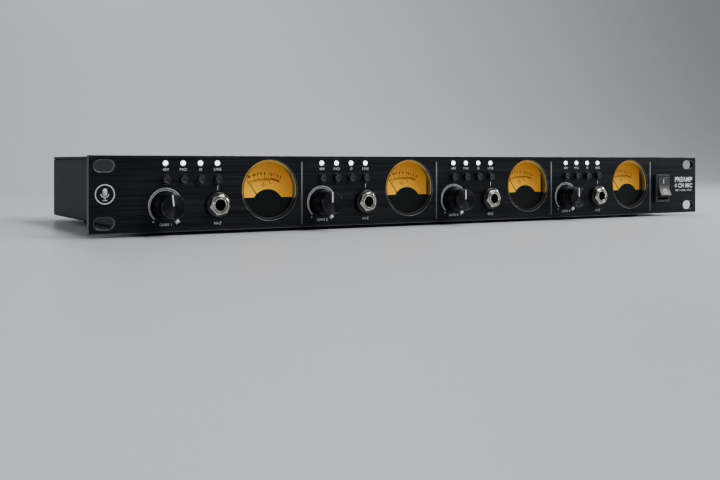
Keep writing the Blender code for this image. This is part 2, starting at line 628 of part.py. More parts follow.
def main_board(materials, bench):
    """The audio and power board, with its transformers, capacitors, power module and connectors.

    The inputs have three holes. The outputs are cups, and the pins in them are left out."""
    top = MAIN_BOARD_BASE + BOARD
    bm = bmesh.new()
    low = (MAIN_BOARD_LEFT, MAIN_BOARD_FRONT, MAIN_BOARD_BASE)
    box(bm, low, (MAIN_BOARD_RIGHT, MAIN_BOARD_BACK, top))
    board = make("main_board", bm, materials["board"], bench)

    parts, cuts = bmesh.new(), bmesh.new()
    root = top - BITE
    body_front, body_back = 164 * MM, CHASSIS_DEPTH - SHEET - GAP
    barrel_back = CHASSIS_DEPTH + XLR_REACH
    for i in range(2 * CHANNELS):
        x = xlr_x(i)
        box(parts, (x - 12.5 * MM, body_front, root), (x + 12.5 * MM, body_back, 38 * MM))
    for channel in range(CHANNELS):
        x = MAIN_BOARD_LEFT + 30 * MM + channel * 72 * MM
        box(parts, (x - 11 * MM, 118 * MM, root), (x + 11 * MM, 142 * MM, 34 * MM))
        for side in (-1, 1):
            post(parts, x + side * 20 * MM, 108 * MM, 4 * MM, root, 28 * MM, 8)
    box(parts, (346 * MM, 104 * MM, root), (402 * MM, 148 * MM, 36 * MM))
    combine(board, parts, "UNION")

    barrels = bmesh.new()
    for i in range(2 * CHANNELS):
        x = xlr_x(i)
        rod(barrels, x, XLR_Z, XLR_BARREL_RADIUS, body_back - BITE, barrel_back, 16)
        if i % 2 == 0:
            for k in range(3):
                turn = radians(120 * k)
                hole = (x + XLR_PIN_RING * sin(turn), XLR_Z - XLR_PIN_RING * cos(turn))
                rod(cuts, *hole, XLR_PIN_RADIUS, barrel_back - XLR_CUP_DEPTH, barrel_back + 1 * MM, 6)
        else:
            rod(cuts, x, XLR_Z, XLR_CUP_RADIUS, barrel_back - XLR_CUP_DEPTH, barrel_back + 1 * MM, 16)
    combine(board, barrels, "UNION")
    combine(board, cuts, "DIFFERENCE")


def mains_inlet(materials, bench):
    """The three-pin mains inlet in the rear wall."""
    place = (INLET_X, CHASSIS_DEPTH, INLET_Z)
    depth, pin_front = 24 * MM, 6 * MM
    rim_back = GAP + INLET_FLANGE_THICKNESS
    bm = bmesh.new()
    block(bm, 0, 0, INLET_BODY, -depth, GAP + BITE)
    inlet = make("mains_inlet", bm, materials["plastic"], bench, place)
    rim = bmesh.new()
    block(rim, 0, 0, INLET_FLANGE, GAP, rim_back)
    combine(inlet, rim, "UNION")
    cavity = bmesh.new()
    width, height = INLET_CAVITY
    cut = 4 * MM  # the two cut corners that keep a plug the right way up
    outline = [(-width / 2, -height / 2), (width / 2, -height / 2), (width / 2, height / 2 - cut)]
    outline += [(width / 2 - cut, height / 2), (-width / 2 + cut, height / 2)]
    outline.append((-width / 2, height / 2 - cut))
    prism(cavity, outline, -depth + pin_front, rim_back + 1 * MM, "y")
    combine(inlet, cavity, "DIFFERENCE")
    pins = bmesh.new()
    for x, z in ((-7 * MM, -1.5 * MM), (0, 2.5 * MM), (7 * MM, -1.5 * MM)):
        block(pins, x, z, (2 * MM, 4 * MM), -depth + pin_front - BITE, -2 * MM)
    combine(inlet, pins, "UNION")


def power_switch(materials, bench):
    """The power switch: a snap-in frame with its terminals, and the rocker that pivots in it."""
    place = (ROCKER_X, 0, ROCKER_Z)
    bm = bmesh.new()
    block(bm, 0, 0, BEZEL, -GAP - BEZEL_THICKNESS, -GAP)
    frame = make("power_switch_frame", bm, materials["plastic"], bench, place)
    body = bmesh.new()
    block(body, 0, 0, SWITCH_BODY, -GAP - BITE, SWITCH_BODY_END)
    combine(frame, body, "UNION")
    well = bmesh.new()
    block(well, 0, 0, SWITCH_WELL, -GAP - BEZEL_THICKNESS - 1 * MM, SWITCH_WELL_END)
    combine(frame, well, "DIFFERENCE")
    axle_hole = bmesh.new()
    axle_radius, axle_half = 1.2 * MM, 6.0 * MM
    turns = [2 * pi * i / 10 for i in range(10)]

    def circle(radius, y):
        return [(y + radius * sin(a), radius * cos(a)) for a in turns]

    prism(axle_hole, circle(axle_radius + GAP, ROCKER_PIVOT), -7 * MM, 7 * MM, "x")
    combine(frame, axle_hole, "DIFFERENCE")
    blades = bmesh.new()
    for z in (-4.5 * MM, 4.5 * MM):
        block(blades, 0, z, (4.8 * MM, 0.8 * MM), SWITCH_BODY_END - BITE, SWITCH_BODY_END + 8 * MM)
    combine(frame, blades, "UNION")

    bm = bmesh.new()
    side = [(-6.9 * MM, -7.15 * MM), (-5.6 * MM, 0), (-6.9 * MM, 7.15 * MM), (-1.0 * MM, 8.2 * MM)]
    side += [(0.8 * MM, 8.1 * MM), (3.0 * MM, 1.5 * MM), (3.0 * MM, -1.5 * MM), (0.8 * MM, -8.1 * MM)]
    side += [(-1.0 * MM, -8.2 * MM)]
    prism(bm, side, -ROCKER_WIDTH / 2, ROCKER_WIDTH / 2, "x")
    rocker = make("power_rocker", bm, materials["plastic"], bench, (ROCKER_X, ROCKER_PIVOT, ROCKER_Z))
    rocker.rotation_euler.x = radians(-ROCKER_TILT)
    axle = bmesh.new()
    prism(axle, circle(axle_radius, 0), -axle_half, axle_half, "x")
    combine(rocker, axle, "UNION")


def main():
    clear_scene()
    materials = make_materials()
    bench = bpy.data.objects.new("bench_frame", None)
    bpy.context.scene.collection.objects.link(bench)
    bench.location = BENCH_TO_MODEL
    front_panel(materials, bench)
    chassis(materials, bench)
    top_cover(materials, bench)
    feet(materials, bench)
    control_board(materials, bench)
    main_board(materials, bench)
    mains_inlet(materials, bench)
    power_switch(materials, bench)
    for channel in range(1, CHANNELS + 1):
        light_guide(channel, materials, bench)
        buttons(channel, materials, bench)
        gain_knob(channel, materials, bench)
        hi_z_jack(channel, materials, bench)
        jack_nut(channel, materials, bench)
        meter_cover(channel, materials, bench)
        meter_dial(channel, materials, bench)
        meter_case(channel, materials, bench)
        meter_needle(channel, materials, bench)


main()
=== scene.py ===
"""The looks of a four-channel rack microphone preamp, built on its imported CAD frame.

Shapes are written in millimetres about a local centre, which comes from the frame. x runs right along
the front panel, y runs back from its face, and z runs up.
"""

import json
from math import atan2, cos, pi, radians, sin, sqrt, tan

import bmesh
import bpy
from mathutils import Matrix, Vector


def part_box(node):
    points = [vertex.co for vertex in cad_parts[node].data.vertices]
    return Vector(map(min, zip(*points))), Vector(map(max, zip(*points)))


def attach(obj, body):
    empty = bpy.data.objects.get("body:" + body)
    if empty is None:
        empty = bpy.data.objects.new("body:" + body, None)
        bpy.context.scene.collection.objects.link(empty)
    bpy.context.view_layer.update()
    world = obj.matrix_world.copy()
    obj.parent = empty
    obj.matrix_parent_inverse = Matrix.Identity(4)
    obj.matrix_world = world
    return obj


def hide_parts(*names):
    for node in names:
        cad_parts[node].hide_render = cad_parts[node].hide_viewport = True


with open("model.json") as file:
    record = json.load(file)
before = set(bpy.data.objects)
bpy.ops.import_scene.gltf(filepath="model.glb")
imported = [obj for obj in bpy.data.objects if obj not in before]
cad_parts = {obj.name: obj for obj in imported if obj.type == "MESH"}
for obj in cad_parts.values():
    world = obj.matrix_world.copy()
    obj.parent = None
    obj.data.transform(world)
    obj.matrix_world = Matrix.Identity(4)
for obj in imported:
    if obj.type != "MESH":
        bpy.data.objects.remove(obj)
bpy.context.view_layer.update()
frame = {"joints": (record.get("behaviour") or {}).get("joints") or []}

MM = 0.001
CHANNELS = (1, 2, 3, 4)
BUTTONS = ("48v", "pad", "phase", "line")
LABELS = {"48v": "48V", "pad": "PAD", "phase": "Ø", "line": "LINE"}
JOINTS = {joint["name"]: joint for joint in frame["joints"]}
PANEL_LOW, PANEL_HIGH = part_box("front_panel")
PANEL_SIZE = (PANEL_HIGH - PANEL_LOW) / MM
FRONT = PANEL_LOW.y
PANEL_CENTRE = Vector(((PANEL_LOW.x + PANEL_HIGH.x) / 2, FRONT, (PANEL_LOW.z + PANEL_HIGH.z) / 2))


def middle(node):
    low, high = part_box(node)
    return (low + high) / 2


def on_panel(node):
    """The centre of a node, moved to the panel's face."""
    centre = middle(node)
    return Vector((centre.x, FRONT, centre.z))


def axis_on_panel(joint):
    x, _, z = JOINTS[joint]["pos_m"]
    return Vector((x, FRONT, z))


# ---- Materials ----


class Finish:
    """A Principled material whose colour, roughness and relief come from nodes."""

    def __init__(self, name, **plain):
        self.material = bpy.data.materials.new(name)
        self.material.use_nodes = True
        self.tree = self.material.node_tree
        self.shader = self.tree.nodes["Principled BSDF"]
        self.place = self.node("TexCoord").outputs["Object"]
        for key, value in plain.items():
            self.shader.inputs[key.replace("_", " ")].default_value = value

    def node(self, kind, inputs=None, **settings):
        made = self.tree.nodes.new("ShaderNode" + kind)
        for key, value in settings.items():
            setattr(made, key, value)
        for key, value in (inputs or {}).items():
            if isinstance(value, bpy.types.NodeSocket):
                self.tree.links.new(value, made.inputs[key])
            else:
                made.inputs[key].default_value = value
        return made

    def stretched(self, scale):
        return self.node("Mapping", {"Vector": self.place, "Scale": scale}).outputs["Vector"]

    def noise(self, scale, detail=3.0, roughness=0.55, vector=None):
        inputs = {"Vector": vector or self.place, "Scale": scale, "Detail": detail, "Roughness": roughness}
        return self.node("TexNoise", inputs).outputs["Fac"]

    def span(self, value, low, high, start=0.3, end=0.7):
        """Maps values between start and end to values between low and high."""
        inputs = {"Value": value, "From Min": start, "From Max": end, "To Min": low, "To Max": high}
        return self.node("MapRange", inputs).outputs["Result"]

    def math(self, operation, a, b):
        return self.node("Math", {0: a, 1: b}, operation=operation).outputs[0]

    def mixed(self, first, share, second):
        """A share of the first value and the rest of the second."""
        rest = self.math("MULTIPLY", second, 1.0 - share)
        return self.math("ADD", self.math("MULTIPLY", first, share), rest)

    def vector(self, operation, a, b=None, output="Vector"):
        inputs = {0: a} if b is None else {0: a, 1: b}
        return self.node("VectorMath", inputs, operation=operation).outputs[output]

    def blend(self, factor, first, second):
        ramp = self.node("ValToRGB", {"Fac": factor})
        ramp.color_ramp.elements[0].color = (*first, 1)
        ramp.color_ramp.elements[1].color = (*second, 1)
        return ramp.outputs["Color"]

    def link(self, socket, key):
        self.tree.links.new(socket, self.shader.inputs[key])

    def relief(self, height, strength, depth_mm):
        inputs = {"Height": height, "Strength": strength, "Distance": depth_mm * MM}
        self.link(self.node("Bump", inputs).outputs["Normal"], "Normal")


def brushed(name, dark, light, rough, metallic):
    """Metal brushed along x: long fine scratches over broader streaks."""
    f = Finish(name, Metallic=metallic, Anisotropic=0.55, Anisotropic_Rotation=0.25)
    f.link(f.node("Tangent", direction_type="RADIAL", axis="Z").outputs[0], "Tangent")
    fine = f.noise(3000, 4, 0.7, f.stretched((0.006, 0.2, 1)))
    broad = f.noise(700, 3, 0.6, f.stretched((0.012, 0.2, 1)))
    cloud = f.noise(14, 2)
    streak = f.mixed(fine, 0.5, broad)
    f.link(f.blend(f.span(streak, 0, 1, 0.36, 0.64), dark, light), "Base Color")
    f.link(f.span(f.mixed(streak, 0.75, cloud), *rough, 0.35, 0.65), "Roughness")
    f.relief(streak, 0.35, 0.03)
    return f.material


def turned_metal(name, dark, light, rough, anisotropic=0.8):
    """Metal turned about the piece's own y axis, with fine concentric cuts."""
    f = Finish(name, Metallic=0.95, Anisotropic=anisotropic, Anisotropic_Rotation=0.25)
    f.link(f.node("Tangent", direction_type="RADIAL", axis="Y").outputs[0], "Tangent")
    radius = f.vector("LENGTH", f.stretched((1, 0, 1)), output="Value")
    inputs = {"W": radius, "Scale": 6000, "Detail": 3.0}
    cuts = f.node("TexNoise", inputs, noise_dimensions="1D").outputs["Fac"]
    f.link(f.blend(f.span(cuts, 0, 1), dark, light), "Base Color")
    f.link(f.span(cuts, *rough), "Roughness")
    f.relief(cuts, 0.25, 0.02)
    return f.material


def coated(name, dark, light, rough, grain, depth, worn=0, **plain):
    """Powder coat, ink, moulded plastic or rubber: a fine grain, a slow change of shade, and worn edges."""
    f = Finish(name, **plain)
    fine = f.noise(grain, 3, 0.6)
    slow = f.noise(22, 4, 0.6)
    shade = f.mixed(fine, 0.35, slow)
    colour = f.blend(f.span(shade, 0, 1, 0.35, 0.65), dark, light)
    if worn:
        edges = f.node("NewGeometry").outputs["Pointiness"]
        rubbed = f.math("MULTIPLY", f.span(edges, 0, worn, 0.52, 0.6), f.span(slow, 0.3, 1))
        pale = [3 * c + 0.05 for c in light]
        mix = f.node("Mix", data_type="RGBA")
        into = {socket.identifier: socket for socket in mix.inputs}
        f.tree.links.new(rubbed, into["Factor_Float"])
        f.tree.links.new(colour, into["A_Color"])
        into["B_Color"].default_value = (*pale, 1)
        colour = next(socket for socket in mix.outputs if socket.identifier == "Result_Color")
    f.link(colour, "Base Color")
    f.link(f.span(shade, *rough, 0.35, 0.65), "Roughness")
    f.relief(fine, 0.4, depth)
    return f.material


def plated(name, dark, light, rough):
    """Bright plating, with faint rubbing marks."""
    f = Finish(name, Metallic=1)
    marks = f.noise(900, 5, 0.7)
    slow = f.noise(60, 2)
    f.link(f.blend(f.span(slow, 0, 1), dark, light), "Base Color")
    f.link(f.span(marks, *rough), "Roughness")
    f.relief(marks, 0.12, 0.01)
    return f.material


def dial_card(name):
    """The back-lit card: brightest by the bulb at its lower left, and orange at the top."""
    f = Finish(name, Roughness=0.6, Specular_IOR_Level=0.2, Emission_Strength=0.95)
    fibre = f.noise(1800, 4, 0.6)
    bulb = f.vector("MULTIPLY", f.vector("ADD", f.place, (0.009, 0, 0.011)), (0.8, 0, 1))
    fade = f.math("ADD", f.vector("LENGTH", bulb, output="Value"), f.span(fibre, -0.0009, 0.0009))
    ramp = f.node("ValToRGB", {"Fac": f.span(fade, 0, 1, 0, 0.032)})
    colours = (
        (0, (1.6, 0.68, 0)),
        (0.35, (1, 0.48, 0.008)),
        (0.7, (0.5, 0.215, 0.014)),
        (1, (0.3, 0.115, 0.01)),
    )
    ramp.color_ramp.elements[1].position = 1
    for position, _ in colours[1:-1]:
        ramp.color_ramp.elements.new(position)
    for element, (_, colour) in zip(ramp.color_ramp.elements, colours):
        element.color = (*colour, 1)
    f.link(f.blend(f.span(fibre, 0, 1), (0.1, 0.04, 0.001), (0.13, 0.052, 0.002)), "Base Color")
    f.link(ramp.outputs["Color"], "Emission Color")
    f.relief(fibre, 0.1, 0.02)
    return f.material


def lit_rim(name):
    """The clear cover's edge: gold and olive where the card lights it, and dark beside the mask."""
    f = Finish(name, Specular_IOR_Level=0.12, Emission_Strength=1)
    axes = f.node("SeparateXYZ", {0: f.place}).outputs
    above_mask = f.span(axes["Z"], 0, 1, -0.0056, -0.0036)
    lit = f.math("MULTIPLY", above_mask, f.span(f.noise(500, 2), 0.7, 1))
    lip = f.math("MULTIPLY", lit, f.span(axes["Y"], 1, 0, 0.0009, 0.001))
    f.link(f.blend(lit, (0.014, 0.014, 0.014), (0.09, 0.06, 0.02)), "Base Color")
    upper = f.span(axes["Z"], 0, 1, 0.011, 0.016)
    dark = (0, 0, 0)
    glow = f.blend(lit, dark, (0.04, 0.025, 0.006))
    for part, colour in ((lip, (0.22, 0.14, 0.04)), (upper, (0.17, 0.085, 0.012))):
        glow = f.vector("ADD", glow, f.blend(part, dark, colour))
    f.link(glow, "Emission Color")
    f.link(f.span(f.noise(900, 2), 0.22, 0.34), "Roughness")
    return f.material


def glowing(name, colour, strength, tint):
    """A lamp's moulding, with a little haze in the plastic."""
    f = Finish(name, Roughness=0.25, Emission_Strength=strength)
    glow = f.blend(f.span(f.noise(2500, 2), 0, 1), tint, colour)
    f.link(glow, "Base Color")
    f.link(glow, "Emission Color")
    return f.material


# Every finish, by the short name that piece() takes.
FINISH = {
    "panel": brushed("brushed_black", (0.0016, 0.0019, 0.0028), (0.0188, 0.0204, 0.0246), (0.3, 0.46), 0.9),
    "chassis": coated(
        "powder_coat", (0.006, 0.006, 0.0057), (0.011, 0.0108, 0.0102), (0.42, 0.54), 2200, 0.03,
        worn=0.3, Specular_IOR_Level=0.07,
    ),
    # The front chamfer's brighter metal is partly a bright-cut edge and partly a painted highlight along
    # the panel's edges.
    "cut": brushed("bright_cut_edge_and_painted_highlight", (0.1, 0.103, 0.11), (0.2, 0.206, 0.22), (0.24, 0.38), 0.95),
    "knob": turned_metal("turned_black", (0.003, 0.003, 0.0037), (0.033, 0.033, 0.037), (0.36, 0.47), 0.95),
    "knob_rim": plated("cut_edge", (0.014, 0.014, 0.016), (0.026, 0.026, 0.029), (0.22, 0.32)),
    "button": coated(
        "button_black", (0.0025, 0.0025, 0.003), (0.007, 0.007, 0.0076), (0.26, 0.36), 4000, 0.012
    ),
    "plastic": coated("moulded_black", (0.01, 0.01, 0.011), (0.02, 0.02, 0.021), (0.3, 0.45), 3000, 0.015),
    "gloss": coated(
        "mask_black", (0.002, 0.0025, 0.0022), (0.004, 0.0046, 0.0042), (0.4, 0.5), 2500, 0.008,
        Specular_IOR_Level=0.1,
    ),
    "nickel": plated("nickel", (0.41, 0.39, 0.335), (0.53, 0.505, 0.445), (0.08, 0.2)),
    "collar": turned_metal("collar_black", (0.025, 0.025, 0.027), (0.065, 0.065, 0.07), (0.26, 0.4)),
    "screw": plated("blackened_steel", (0.04, 0.04, 0.042), (0.09, 0.09, 0.095), (0.28, 0.42)),
    "brass": plated("gold_plate", (0.75, 0.52, 0.2), (0.9, 0.68, 0.3), (0.14, 0.28)),
    "ink": coated("white_ink", (0.46, 0.48, 0.51), (0.56, 0.58, 0.61), (0.5, 0.65), 5000, 0.006),
    "pointer": coated("pointer_white", (0.66, 0.66, 0.63), (0.76, 0.76, 0.73), (0.45, 0.6), 5000, 0.006),
    "grey_ink": coated("grey_ink", (0.07, 0.075, 0.082), (0.1, 0.106, 0.115), (0.5, 0.65), 5000, 0.006),
    "dial_ink": coated("dial_ink", (0.012, 0.009, 0.006), (0.03, 0.018, 0.01), (0.5, 0.7), 5000, 0.004),
    "dial_red": coated("dial_red", (0.35, 0.02, 0.01), (0.45, 0.03, 0.012), (0.5, 0.7), 5000, 0.004),
    "needle": coated("needle_red", (0.16, 0.018, 0.01), (0.24, 0.03, 0.015), (0.35, 0.5), 3000, 0.006),
    "dial": dial_card("amber_card"),
    # The wall's amber is painted light from the back-lit card.
    "well": coated("wall_painted_card_light", (0.045, 0.02, 0.004), (0.075, 0.035, 0.008), (0.5, 0.6), 1500, 0.02),
    "rim": lit_rim("cover_edge"),
    "pane": coated(
        "clear_pane", (0.01, 0.01, 0.01), (0.02, 0.02, 0.02), (0.04, 0.08), 400, 0.001, Alpha=0.06
    ),
    "lamp": glowing("white_lamp", (0.95, 0.98, 1), 3.4, (0.84, 0.92, 1)),
    "guide": coated("light_guide", (0.6, 0.62, 0.64), (0.72, 0.74, 0.76), (0.15, 0.25), 1200, 0.01),
    "rubber": coated("rubber", (0.012, 0.012, 0.012), (0.03, 0.03, 0.03), (0.75, 0.9), 1600, 0.06),
    "board": coated("solder_mask", (0.004, 0.05, 0.022), (0.012, 0.09, 0.04), (0.28, 0.4), 900, 0.02),
    "sleeve": coated("capacitor_sleeve", (0.01, 0.012, 0.03), (0.02, 0.024, 0.05), (0.25, 0.35), 900, 0.01),
    "can": plated("steel_can", (0.42, 0.43, 0.45), (0.55, 0.56, 0.58), (0.25, 0.4)),
}

# ---- Shapes ----


def softened(points, radius, steps=4, closed=True):
    """A path with each corner rounded. Points are pairs of numbers."""
    count = len(points)
    out = []
    for i, point in enumerate(points):
        if not closed and i in (0, count - 1):
            out.append(tuple(point))
            continue
        p, a, b = Vector(point), Vector(points[i - 1]), Vector(points[(i + 1) % count])
        reach = min(radius, 0.48 * (a - p).length, 0.48 * (b - p).length)
        start, end = p + (a - p).normalized() * reach, p + (b - p).normalized() * reach
        for k in range(steps + 1):
            t = k / steps
            q = start * (1 - t) ** 2 + p * 2 * t * (1 - t) + end * t**2
            out.append((q.x, q.y))
    return out


def rectangle(width, height, radius=0.0, x=0.0, z=0.0, steps=6):
    w, h = width / 2, height / 2
    corners = [(x - w, z - h), (x + w, z - h), (x + w, z + h), (x - w, z + h)]
    return softened(corners, radius, steps) if radius else corners


def circle(radius, x=0.0, z=0.0, count=48):
    turns = [2 * pi * i / count for i in range(count)]
    return [(x + radius * cos(a), z + radius * sin(a)) for a in turns]


def arc(radius, first, last, count, x=0.0, z=0.0):
    """Points on a circle at angles in degrees, from straight up towards +x."""
    turns = [radians(first + (last - first) * i / count) for i in range(count + 1)]
    return [(x + radius * sin(a), z + radius * cos(a)) for a in turns]


def slot(length, height, x=0.0, z=0.0, count=16):
    """A rectangle with round ends."""
    half = (length - height) / 2
    right = arc(height / 2, 0, 180, count, x + half, z)
    return right + arc(height / 2, 180, 360, count, x - half, z)


AXES = {
    "x": Matrix(((0, 0, 1), (1, 0, 0), (0, 1, 0))),
    "y": Matrix(((1, 0, 0), (0, 0, -1), (0, 1, 0))),
    "z": Matrix.Identity(3),
}


def absorb(bm, data, matrix):
    """Adds the mesh of an outline or a text, and removes the outline or the text."""
    holder = bpy.data.objects.new(data.name, data)
    mesh = bpy.data.meshes.new_from_object(holder)
    mesh.transform(matrix)
    bm.from_mesh(mesh)
    bpy.data.objects.remove(holder)
    bpy.data.curves.remove(data)
    bpy.data.meshes.remove(mesh)


def plate(bm, loops, low, high, axis="y", edge=0.15, rings=2):
    """A flat plate with holes and rounded edges. Loops are pairs in x, y, z order without the axis."""
    outline = bpy.data.curves.new("outline", "CURVE")
    outline.dimensions = "2D"
    outline.fill_mode = "BOTH"
    outline.extrude = (high - low) / 2 - edge
    outline.bevel_depth = edge
    outline.bevel_resolution = rings
    outline.offset = -edge
    for loop in loops:
        spline = outline.splines.new("POLY")
        spline.points.add(len(loop) - 1)
        for point, (u, v) in zip(spline.points, loop):
            point.co = (u, v, 0, 1)
        spline.use_cyclic_u = True
    shift = Vector((0, 0, 0))
    shift["xyz".index(axis)] = (low + high) / 2
    absorb(bm, outline, Matrix.Translation(shift) @ AXES[axis].to_4x4())
    bmesh.ops.remove_doubles(bm, verts=bm.verts, dist=0.0005)


def box(bm, first, second):
    """A box between two opposite corners."""
    low, high = (Vector([*map(pick, first, second)]) for pick in (min, max))
    place = Matrix.Translation((low + high) / 2) @ Matrix.Diagonal((*(high - low), 1.0))
    bmesh.ops.create_cube(bm, size=1.0, matrix=place)


def prism(bm, outline, start, end, axis):
    """An outline drawn out along an axis. Its pairs are in x, y, z order without the axis."""
    index = "xyz".index(axis)

    def place(pair):
        point = list(pair)
        point.insert(index, start)
        return point

    face = bm.faces.new([bm.verts.new(place(pair)) for pair in outline])
    made = bmesh.ops.extrude_face_region(bm, geom=[face])
    far = [part for part in made["geom"] if isinstance(part, bmesh.types.BMVert)]
    step = Vector((0, 0, 0))
    step[index] = end - start
    bmesh.ops.translate(bm, verts=far, vec=step)


def turned(bm, profile, x=0.0, z=0.0, segments=64, closed=False, phase=0.0):
    """A solid of revolution along y. A profile entry is (radius, y), or a function of the angle.
    A closed profile makes a ring with a hole, and an open one starts and ends on the axis."""
    rings = []
    for entry in profile:
        if not callable(entry) and entry[0] == 0:
            rings.append([bm.verts.new((x, entry[1], z))])
            continue
        ring = []
        for i in range(segments):
            a = radians(phase) + 2 * pi * i / segments
            radius, y = entry(a) if callable(entry) else entry
            ring.append(bm.verts.new((x + radius * sin(a), y, z + radius * cos(a))))
        rings.append(ring)
    pairs = list(zip(rings, rings[1:])) + ([(rings[-1], rings[0])] if closed else [])
    for near, far in pairs:
        for i in range(segments):
            steps = ((near, i), (near, i + 1), (far, i + 1), (far, i))
            bm.faces.new(list(dict.fromkeys(ring[k % len(ring)] for ring, k in steps)))


def turned_upright(bm, profile, x=0.0, y=0.0, z=0.0, flip=False, **settings):
    """A solid of revolution along z. A profile entry is (radius, height), or its depth when flipped."""
    before = set(bm.verts)
    turned(bm, profile, **settings)
    place = Matrix.Translation((x, y, z)) @ Matrix.Rotation(-pi / 2 if flip else pi / 2, 4, "X")
    bmesh.ops.transform(bm, matrix=place, verts=[vert for vert in bm.verts if vert not in before])


def hexagon(flats, y, lean=0.0):
    """A ring of a hexagonal bar for turned(), with its first corner a few degrees from upright."""

    def ring(a):
        turn = (a - radians(lean)) % (pi / 3) - pi / 6
        return flats / 2 / cos(turn), y

    return ring


def trimmed(flats, radius, y, slope, lean=0.0):
    """The ring where a cone that starts at a radius trims a hexagon's corners."""
    side = hexagon(flats, y, lean)

    def ring(a):
        reach = side(a)[0]
        return reach, y + (reach - radius) * tan(radians(slope))

    return ring


def ribbon(bm, rows):
    """A strip of faces between pairs of points."""
    made = [[bm.verts.new(point) for point in row] for row in rows]
    for a, b in zip(made, made[1:]):
        bm.faces.new([a[0], a[1], b[1], b[0]])


def sheet(bm, outline, y):
    """A flat printed shape, in the plane of the panel."""
    bm.faces.new([bm.verts.new((u, y, v)) for u, v in outline])


def band(bm, y, first, last, inner, outer, count=48, x=0.0, z=0.0):
    """A printed band along a circle. A radius may be a function of how far along the band it is."""
    rows = []
    for i in range(count + 1):
        t = i / count
        a = radians(first + (last - first) * t)
        radii = [radius(t) if callable(radius) else radius for radius in (inner, outer)]
        rows.append([(x + r * sin(a), y, z + r * cos(a)) for r in radii])
    ribbon(bm, rows)


CAPITAL_HEIGHT = 0.729  # of the built-in font at size 1


def lettering(bm, text, height, x, z, y, weight=0.0, spacing=1.0, turned_round=False):
    """Printed capitals of a given height, in the plane of the panel, or turned round for the rear wall."""
    font = bpy.data.curves.new("lettering", "FONT")
    font.body = text
    font.size = height / CAPITAL_HEIGHT
    font.align_x = "CENTER"
    font.align_y = "CENTER"
    font.offset = weight
    font.space_character = spacing
    font.resolution_u = 3
    turn = Matrix.Rotation(pi if turned_round else 0, 4, "Z") @ AXES["y"].to_4x4()
    absorb(bm, font, Matrix.Translation((x, y, z)) @ turn)


def piece(
    name, bm, finish, body="enclosure", at=(0, 0, 0), turn=None, stands_for=(),
    edge=0.0, sharp=32, ink=0.0,
):
    """Turns a bmesh in millimetres into a piece that rides on a body and may stand for CAD nodes.
    edge is a bevel's width, sharp is the angle that stays a crease, and ink is a print's thickness."""
    bmesh.ops.recalc_face_normals(bm, faces=bm.faces)
    bmesh.ops.scale(bm, vec=(MM, MM, MM), verts=bm.verts)
    mesh = bpy.data.meshes.new(name)
    bm.to_mesh(mesh)
    bm.free()
    mesh.shade_smooth()
    mesh.set_sharp_from_angle(angle=radians(sharp))
    mesh.materials.append(FINISH[finish])
    obj = bpy.data.objects.new(name, mesh)
    bpy.context.scene.collection.objects.link(obj)
    obj.location = at
    if turn:
        obj.rotation_euler = turn
    if ink:
        thick = obj.modifiers.new("ink", "SOLIDIFY")
        thick.thickness = ink * MM
        thick.offset = 0
    if edge:
        bevel = obj.modifiers.new("edges", "BEVEL")
        bevel.width = edge * MM
        bevel.segments = 3
        bevel.limit_method = "ANGLE"
        bevel.angle_limit = radians(sharp)
    if not ink:
        flat = obj.modifiers.new("flat_faces", "WEIGHTED_NORMAL")
        flat.keep_sharp = True
    if stands_for:
        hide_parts(*stands_for)
    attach(obj, body)
    return obj


def rear_screw(bm, x, z, radius, y, lift):
    """A low domed screw head with a hexagon socket, on the rear wall."""
    flats = radius * 0.95
    top, bottom = y + lift, y + lift * 0.1
    dome = [(radius, y), (radius, y + lift * 0.45), (radius * 0.86, y + lift * 0.85), (radius * 0.66, top)]
    socket = [hexagon(flats, top), hexagon(flats, bottom), (0, bottom)]
    turned(bm, [(0, y)] + dome + socket, x, z, 36)


# ---- The front panel and what is printed on it ----

SLOT_PITCH = (465.1, 31.75)  # the rack's own, across and up
RACK_SLOT, SWITCH_HOLE = (11.4, 6.6), (13.6, 19.2)
GAIN_HOLE, JACK_HOLE, METER_HOLE = 4.3, 4.6, 18.15  # radii
BUTTON_HOLE, LAMP_HOLE = 2.6, 1.5
PRINT_Y = -0.02
PRINT_THICKNESS = 0.02
GAIN_SWEEP = 138  # degrees of the printed scale on each side of upright


def offset(point):
    """A point's place from the panel's centre, in millimetres along x and z."""
    away = (point - PANEL_CENTRE) / MM
    return away.x, away.z


LAMP_Z = offset(middle("light_guide_1"))[1]


def front_panel():
    loops = [rectangle(PANEL_SIZE.x, PANEL_SIZE.z, 0.5)]
    for side in (-1, 1):
        for level in (-1, 1):
            loops.append(slot(*RACK_SLOT, side * SLOT_PITCH[0] / 2, level * SLOT_PITCH[1] / 2))
    for c in CHANNELS:
        for b in BUTTONS:
            x, z = offset(middle(f"button_{c}_{b}"))
            loops.append(circle(BUTTON_HOLE, x, z, 32))
            loops.append(circle(LAMP_HOLE, x, LAMP_Z, 24))
        loops.append(circle(GAIN_HOLE, *offset(axis_on_panel(f"gain_{c}_turn")), 40))
        loops.append(circle(JACK_HOLE, *offset(middle(f"hi_z_jack_{c}")), 40))
        loops.append(circle(METER_HOLE, *offset(middle(f"meter_cover_{c}")), 128))
    loops.append(rectangle(*SWITCH_HOLE, 0.8, *offset(axis_on_panel("power_rock"))))
    bm = bmesh.new()
    plate(bm, loops, 0, PANEL_SIZE.y - 0.05, "y", 0.28, 1)
    stands_for, slot_name = ("front_panel",), "black_anodised_aluminium"
    obj = piece("panel_plate", bm, "panel", at=PANEL_CENTRE, stands_for=stands_for)
    # The front chamfer's faces get the brighter metal: partly a bright-cut edge, partly a painted
    # highlight.
    obj.data.materials.append(FINISH["cut"])
    for face in obj.data.polygons:
        on_front_chamfer = 0.15 < abs(face.normal.y) < 0.97 and face.center.y < 1.0 * MM
        face.material_index = int(on_front_chamfer)


